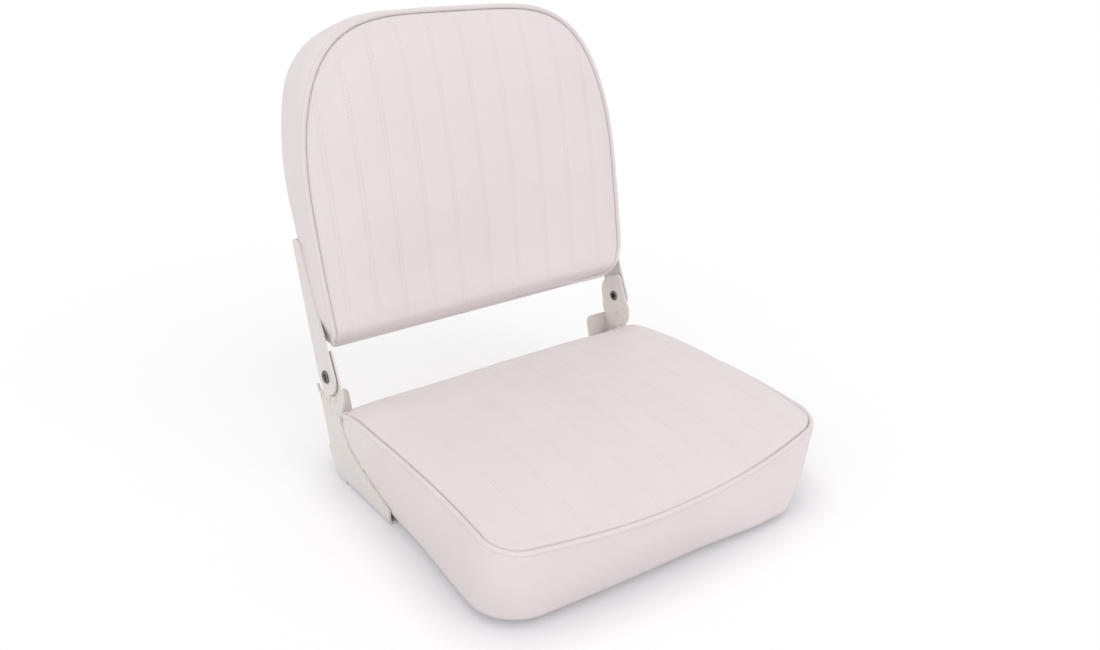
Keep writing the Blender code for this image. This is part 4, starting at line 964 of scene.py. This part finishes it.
VINYL = vinyl("white_vinyl", (0.83, 0.765, 0.765), (0.805, 0.735, 0.735), 0.46)
PIPING = vinyl("piping_vinyl", (0.82, 0.75, 0.75), (0.795, 0.72, 0.72), 0.42)
# A darker copy of the thread for the back's sewn rows: painted shade along those rows
SHADED_BACK_THREAD = plastic("back_thread_painted_shade", (0.76, 0.695, 0.685), (0.69, 0.625, 0.615), 0.6)
THREAD = plastic("thread", (0.82, 0.755, 0.75), (0.78, 0.715, 0.71), 0.6)
PAINT = paint("hinge_paint", (0.80, 0.755, 0.725), (0.775, 0.725, 0.69), (0.71, 0.67, 0.61))
STEEL = metal("plated_steel", (0.50, 0.49, 0.48), (0.33, 0.325, 0.32), 0.36)
NYLON = plastic("nylon", (0.74, 0.72, 0.68), (0.68, 0.66, 0.62), 0.45)
RIVET_STEEL = metal("worn_rivet_steel", (0.26, 0.245, 0.235), (0.12, 0.11, 0.10), 0.45)
# Near-black material for the rivets' bores: painted shade in the hollow of each bore
BORE_PAINTED_SHADE = plastic("bore_painted_shade", (0.060, 0.052, 0.045), (0.030, 0.026, 0.022), 0.8)
PAN = plastic("pan_plastic", (0.055, 0.055, 0.058), (0.040, 0.040, 0.043), 0.55)


def dress(piece, material):
    piece.data.materials.clear()
    piece.data.materials.append(material)


def soften_edges(piece):
    edges = piece.modifiers.new("edges", "BEVEL")
    edges.width = 0.0005
    edges.segments = 2
    edges.limit_method = "ANGLE"
    edges.angle_limit = math.radians(40)


for name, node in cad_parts.items():
    if name.startswith(("hinge_bracket", "hinge_arm")):
        dress(node, PAINT)
        soften_edges(node)
    elif name.startswith("pivot_washer"):
        dress(node, NYLON)
    elif name in ("seat_frame", "back_frame"):
        dress(node, PAN)
    elif not name.startswith(("seat_", "back_")):
        dress(node, STEEL)


# Assembly


def build_seat():
    middle = np.array((0, 0, FRAME_TOP + FRAME_GAP))
    top, rings = seat_top_points(*SEAT_FINE), seat_rings(*SEAT_FINE)
    rough, rough_rings = seat_top_points(*SEAT_GRID, False), seat_rings(*SEAT_GRID, False)

    def pressed(ring):
        return smooth(0.17, 0.19, np.abs(ring[:, 0])) * smooth(0.015, 0.045, ring[:, 1])

    held = held_parts(rough[..., :2], seat_seam(*SEAT_GRID), SEAT_LINES, rough_rings, pressed)
    top, rings = swollen("seat_swell", top, rings, rough, rough_rings, middle, *held)
    cushion = cushion_mesh("seat_cushion", top, rings, middle)
    dress(cushion, VINYL)
    loop = seat_seam(*SEAT_FINE)
    out = outward_of(loop)
    line = np.column_stack([loop + out * WELT_PROUD, welt_height(*loop.T)])
    flat = np.column_stack([out, np.zeros(len(out))])
    welt = piping("seat_piping", line, flat, np.tile((0.0, 0.0, 1.0), (len(out), 1)))
    rows = []
    for number, x in enumerate(SEAT_LINES):
        front = SEAT_FRONT_BOW * (x / SEAT_HALF_WIDTH) ** 2 - SEAT_FRONT + 0.003
        for row in (-1, 1):
            rows.append(stitch_row(x + row * ROW_GAP, front, SEAT_REAR - 0.005, number, row))
    stitches = sewn("seat_stitches", cushion, rows, lambda x, y: ((x, y, CAST_FROM), (0, 0, -1)), THREAD)
    for piece in (cushion, welt, stitches):
        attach(piece, "base")
    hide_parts("seat_foam", "seat_boxing", "seat_top_panel")
    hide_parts("seat_welt")


def build_staples():
    """Wire staples through the hem into the pan, but not under the brackets' flanges."""
    plan = loop_of(pan_sides(PAN_INSET + SEAT_HEM * 0.55, *SEAT_FINE))
    loop = twisted(plan, (1 + HEM_TURN) / 2)
    length = loop_length(loop)
    starts, ends = [], []
    for place in np.arange(0.012, length[-1] - STAPLE, STAPLE_PITCH):
        tilt = 0.0012 * float(noise(91, 0.02, place))
        first, second = [[float(np.interp(at, length, loop[:, axis])) for axis in (0, 1)]
                         for at in (place, place + STAPLE)]
        if abs(first[0]) > 0.160 and first[1] > BRACKET_FRONT - 0.016:
            continue
        starts.append((first[0] + tilt, first[1] + tilt, HEM_BOTTOM))
        ends.append((second[0] - tilt, second[1] - tilt, HEM_BOTTOM))
    down = np.tile((0.0, 0.0, -1.0), (len(starts), 1))
    staples = threads("hem_staples", starts, ends, down, STAPLE_RADIUS, STAPLE_LIFT, STEEL)
    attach(staples, "base")


def build_back():
    middle = to_seat((0, BACK_FRAME_FRONT - FRAME_GAP, BACK_BOTTOM + BACK_HEIGHT / 2))
    top = to_seat(back_front_points(*BACK_FINE))
    rings = [to_seat(ring) for ring in back_rings(*BACK_FINE)]
    rough, rough_rings = back_front_points(*BACK_GRID, False), back_rings(*BACK_GRID, False)

    def pressed(ring):
        return smooth(0.18, 0.195, np.abs(ring[:, 0])) * (1 - smooth(ARM_TOP, ARM_TOP + 0.03, ring[:, 2]))

    seam = back_loop(-SEAM_PROUD, *BACK_GRID)
    held = held_parts(rough[..., ::2], seam, BACK_LINES, rough_rings, pressed)
    rough_rings = [to_seat(ring) for ring in rough_rings]
    top, rings = swollen("back_swell", top, rings, to_seat(rough), rough_rings, middle, *held)
    cushion = cushion_mesh("back_cushion", top, rings, middle)
    dress(cushion, VINYL)
    loop = back_loop(-SEAM_PROUD, *BACK_FINE)
    out = outward_of(loop)
    sunk = smooth(-0.7, -0.95, out[:, 1]) * smooth(0.17, 0.08, loop[:, 0])
    plan = loop + out * (WELT_PROUD - 0.0045 * sunk)[:, None]
    line = np.column_stack([plan[:, 0], back_seam(loop[:, 1]), plan[:, 1]])
    origin = to_seat(np.zeros(3))
    out_world = to_seat(np.column_stack([out[:, 0], np.zeros(len(out)), out[:, 1]])) - origin
    ahead = to_seat(np.tile((0.0, -1.0, 0.0), (len(out), 1))) - origin
    welt = piping("back_piping", to_seat(line), out_world, ahead)
    rises = np.linspace(BACK_WIDEST, BACK_HEIGHT, 400)
    rows = []
    for number, x in enumerate(BACK_LINES):
        for row in (-1, 1):
            at = x + row * ROW_GAP
            inside = rises[back_half_width(rises) > abs(at)]
            high = BACK_BOTTOM + inside[-1] - BACK_ROW_END
            rows.append(stitch_row(at, BACK_BOTTOM + BACK_ROW_END, high, number, row))
    facing = ahead[0]

    def cast(x, z):
        return to_seat((x, -CAST_FROM, z)).tolist(), (-facing).tolist()

    # The back's stitches take the darker thread, which paints shade along the sewn rows
    stitches = sewn("back_stitches", cushion, rows, cast, SHADED_BACK_THREAD)
    for piece in (cushion, welt, stitches):
        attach(piece, "backrest")
    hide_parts("back_foam", "back_boxing", "back_front_panel")
    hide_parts("back_welt")
    build_rear_cover(facing)


def build_rear_cover(facing):
    """The flat rear cover, a little puffed, with its edge turned under and top-stitched."""
    sides = back_sides(COVER_INSET, *COVER_GRID)
    plan = coons(sides)
    x, z = plan[..., 0], plan[..., 1]
    rim = loop_of(sides)
    distance, _ = nearest(plan, rim)
    drawn = np.exp(-((distance - COVER_ROW) / 0.0012) ** 2)
    puff = 0.9 * MM * smooth(0, 0.004, distance) - 0.5 * MM * drawn
    puff = puff + 0.3 * MM * noise_plane(61, 0.07, x, z) * smooth(0.006, 0.02, distance)
    face = np.stack([-x, BACK_REAR - 0.0008 + back_bulge(z) + puff, z], -1)
    under = BACK_HEM_REAR + 0.0002
    ring = np.column_stack([-rim[:, 0], under + back_bulge(rim[:, 1]), rim[:, 1]])
    cover = cushion_mesh("back_rear_cover", to_seat(face), [to_seat(ring)],
                         to_seat((0, under, BACK_BOTTOM + BACK_HEIGHT / 2)))
    dress(cover, VINYL)
    row = back_loop(COVER_INSET + COVER_ROW, *COVER_GRID)
    length = loop_length(row)
    places = np.arange(0.0, length[-1] - STITCH, STITCH_PITCH)
    ends = [np.column_stack([np.interp(at, length, row[:, axis]) for axis in (0, 1)])
            for at in (places, places + STITCH)]

    def cast(x, z):
        return to_seat((x, CAST_FROM, z)).tolist(), facing.tolist()

    stitches = sewn("back_cover_stitches", cover, [list(zip(*ends))], cast, THREAD)
    for piece in (cover, stitches):
        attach(piece, "backrest")
    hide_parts("back_rear_panel")


def build_rivets():
    """Hollow tubular rivets with rolled lips, turned about the pivot."""
    profile = [(radius, RIVET_HEAD_PLANE + out) for radius, out in RIVET_LIP]
    profile += [(radius, RIVET_TAIL_PLANE + out) for radius, out in RIVET_TAIL]
    turns = np.linspace(0, 2 * PI, 48, endpoint=False)
    for name, hand in (("left", -1), ("right", 1)):
        points = [[(hand * x, PIVOT[1] + radius * math.cos(turn), PIVOT[2] + radius * math.sin(turn))
                   for turn in turns] for radius, x in profile]
        rivet = tube("rolled_rivet_" + name, np.array(points), RIVET_STEEL)
        # The bore's faces take the near-black material: painted shade in the hollow
        rivet.data.materials.append(BORE_PAINTED_SHADE)
        for face in rivet.data.polygons:
            radius = math.hypot(face.center.y - PIVOT[1], face.center.z - PIVOT[2])
            face.material_index = int(radius < RIVET_BORE)
        soft = rivet.modifiers.new("rounder", "SUBSURF")
        soft.levels = soft.render_levels = 1
        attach(rivet, "base")
        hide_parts("pivot_rivet_" + name)


build_seat()
build_staples()
build_back()
build_rivets()

# Light, floor and camera


def shown_ray(tree):
    """1 for the rays that show the background: camera, glossy and transmission rays."""
    path = add(tree, "LightPath")
    value = path.outputs["Is Camera Ray"]
    for name in ("Is Glossy Ray", "Is Transmission Ray"):
        value = combined(tree, "MAXIMUM", value, path.outputs[name])
    return value


def build_stage():
    bpy.ops.mesh.primitive_plane_add(size=60, location=(0, 0, -0.0004))
    floor = bpy.context.object
    floor.name = "floor"
    made, tree, shader, _ = node_material("floor_white")
    near = add(tree, "AmbientOcclusion", Distance=0.06)
    wire(tree, shader, Base_Color=mixed(tree, near.outputs["AO"], FLOOR_SHADE, FLOOR_WHITE, 0.42, 0.95),
         Emission_Strength=ranged(tree, shown_ray(tree), To_Min=0.0, To_Max=FLOOR_LIFT))
    shader.inputs["Roughness"].default_value = 0.9
    shader.inputs["Specular IOR Level"].default_value = 0.0
    shader.inputs["Emission Color"].default_value = (1, 1, 1, 1)
    dress(floor, made)

    world = bpy.data.worlds.new("studio")
    bpy.context.scene.world = world
    world.use_nodes = True
    tree = world.node_tree
    background = tree.nodes["Background"]
    background.inputs["Color"].default_value = (1, 1, 1, 1)
    wire(tree, background, Strength=ranged(tree, shown_ray(tree), To_Min=AMBIENT, To_Max=1.0))

    for name, place, spread, power in LAMPS:
        lamp = bpy.data.lights.new(name, "SUN")
        lamp.angle = math.radians(spread)
        lamp.energy = power
        holder = bpy.data.objects.new(name, lamp)
        holder.location = place
        holder.rotation_euler = (-Vector(place)).to_track_quat("-Z", "Y").to_euler()
        bpy.context.scene.collection.objects.link(holder)


def build_camera():
    camera = bpy.data.cameras.new("camera")
    camera.sensor_width = 36
    camera.lens = 31.27
    camera.clip_start = 0.01
    holder = bpy.data.objects.new("camera", camera)
    bpy.context.scene.collection.objects.link(holder)
    place = Vector((-0.5771, -0.7297, 0.5748))
    look = (Vector((-0.0032, 0.0356, 0.1751)) - place).to_track_quat("-Z", "Y").to_matrix().to_4x4()
    holder.matrix_world = Matrix.Translation(place) @ look @ Matrix.Rotation(math.radians(-0.13), 4, "Z")
    bpy.context.scene.camera = holder


build_stage()
build_camera()
bpy.context.scene.view_settings.view_transform = "Standard"

bpy.context.view_layer.update()
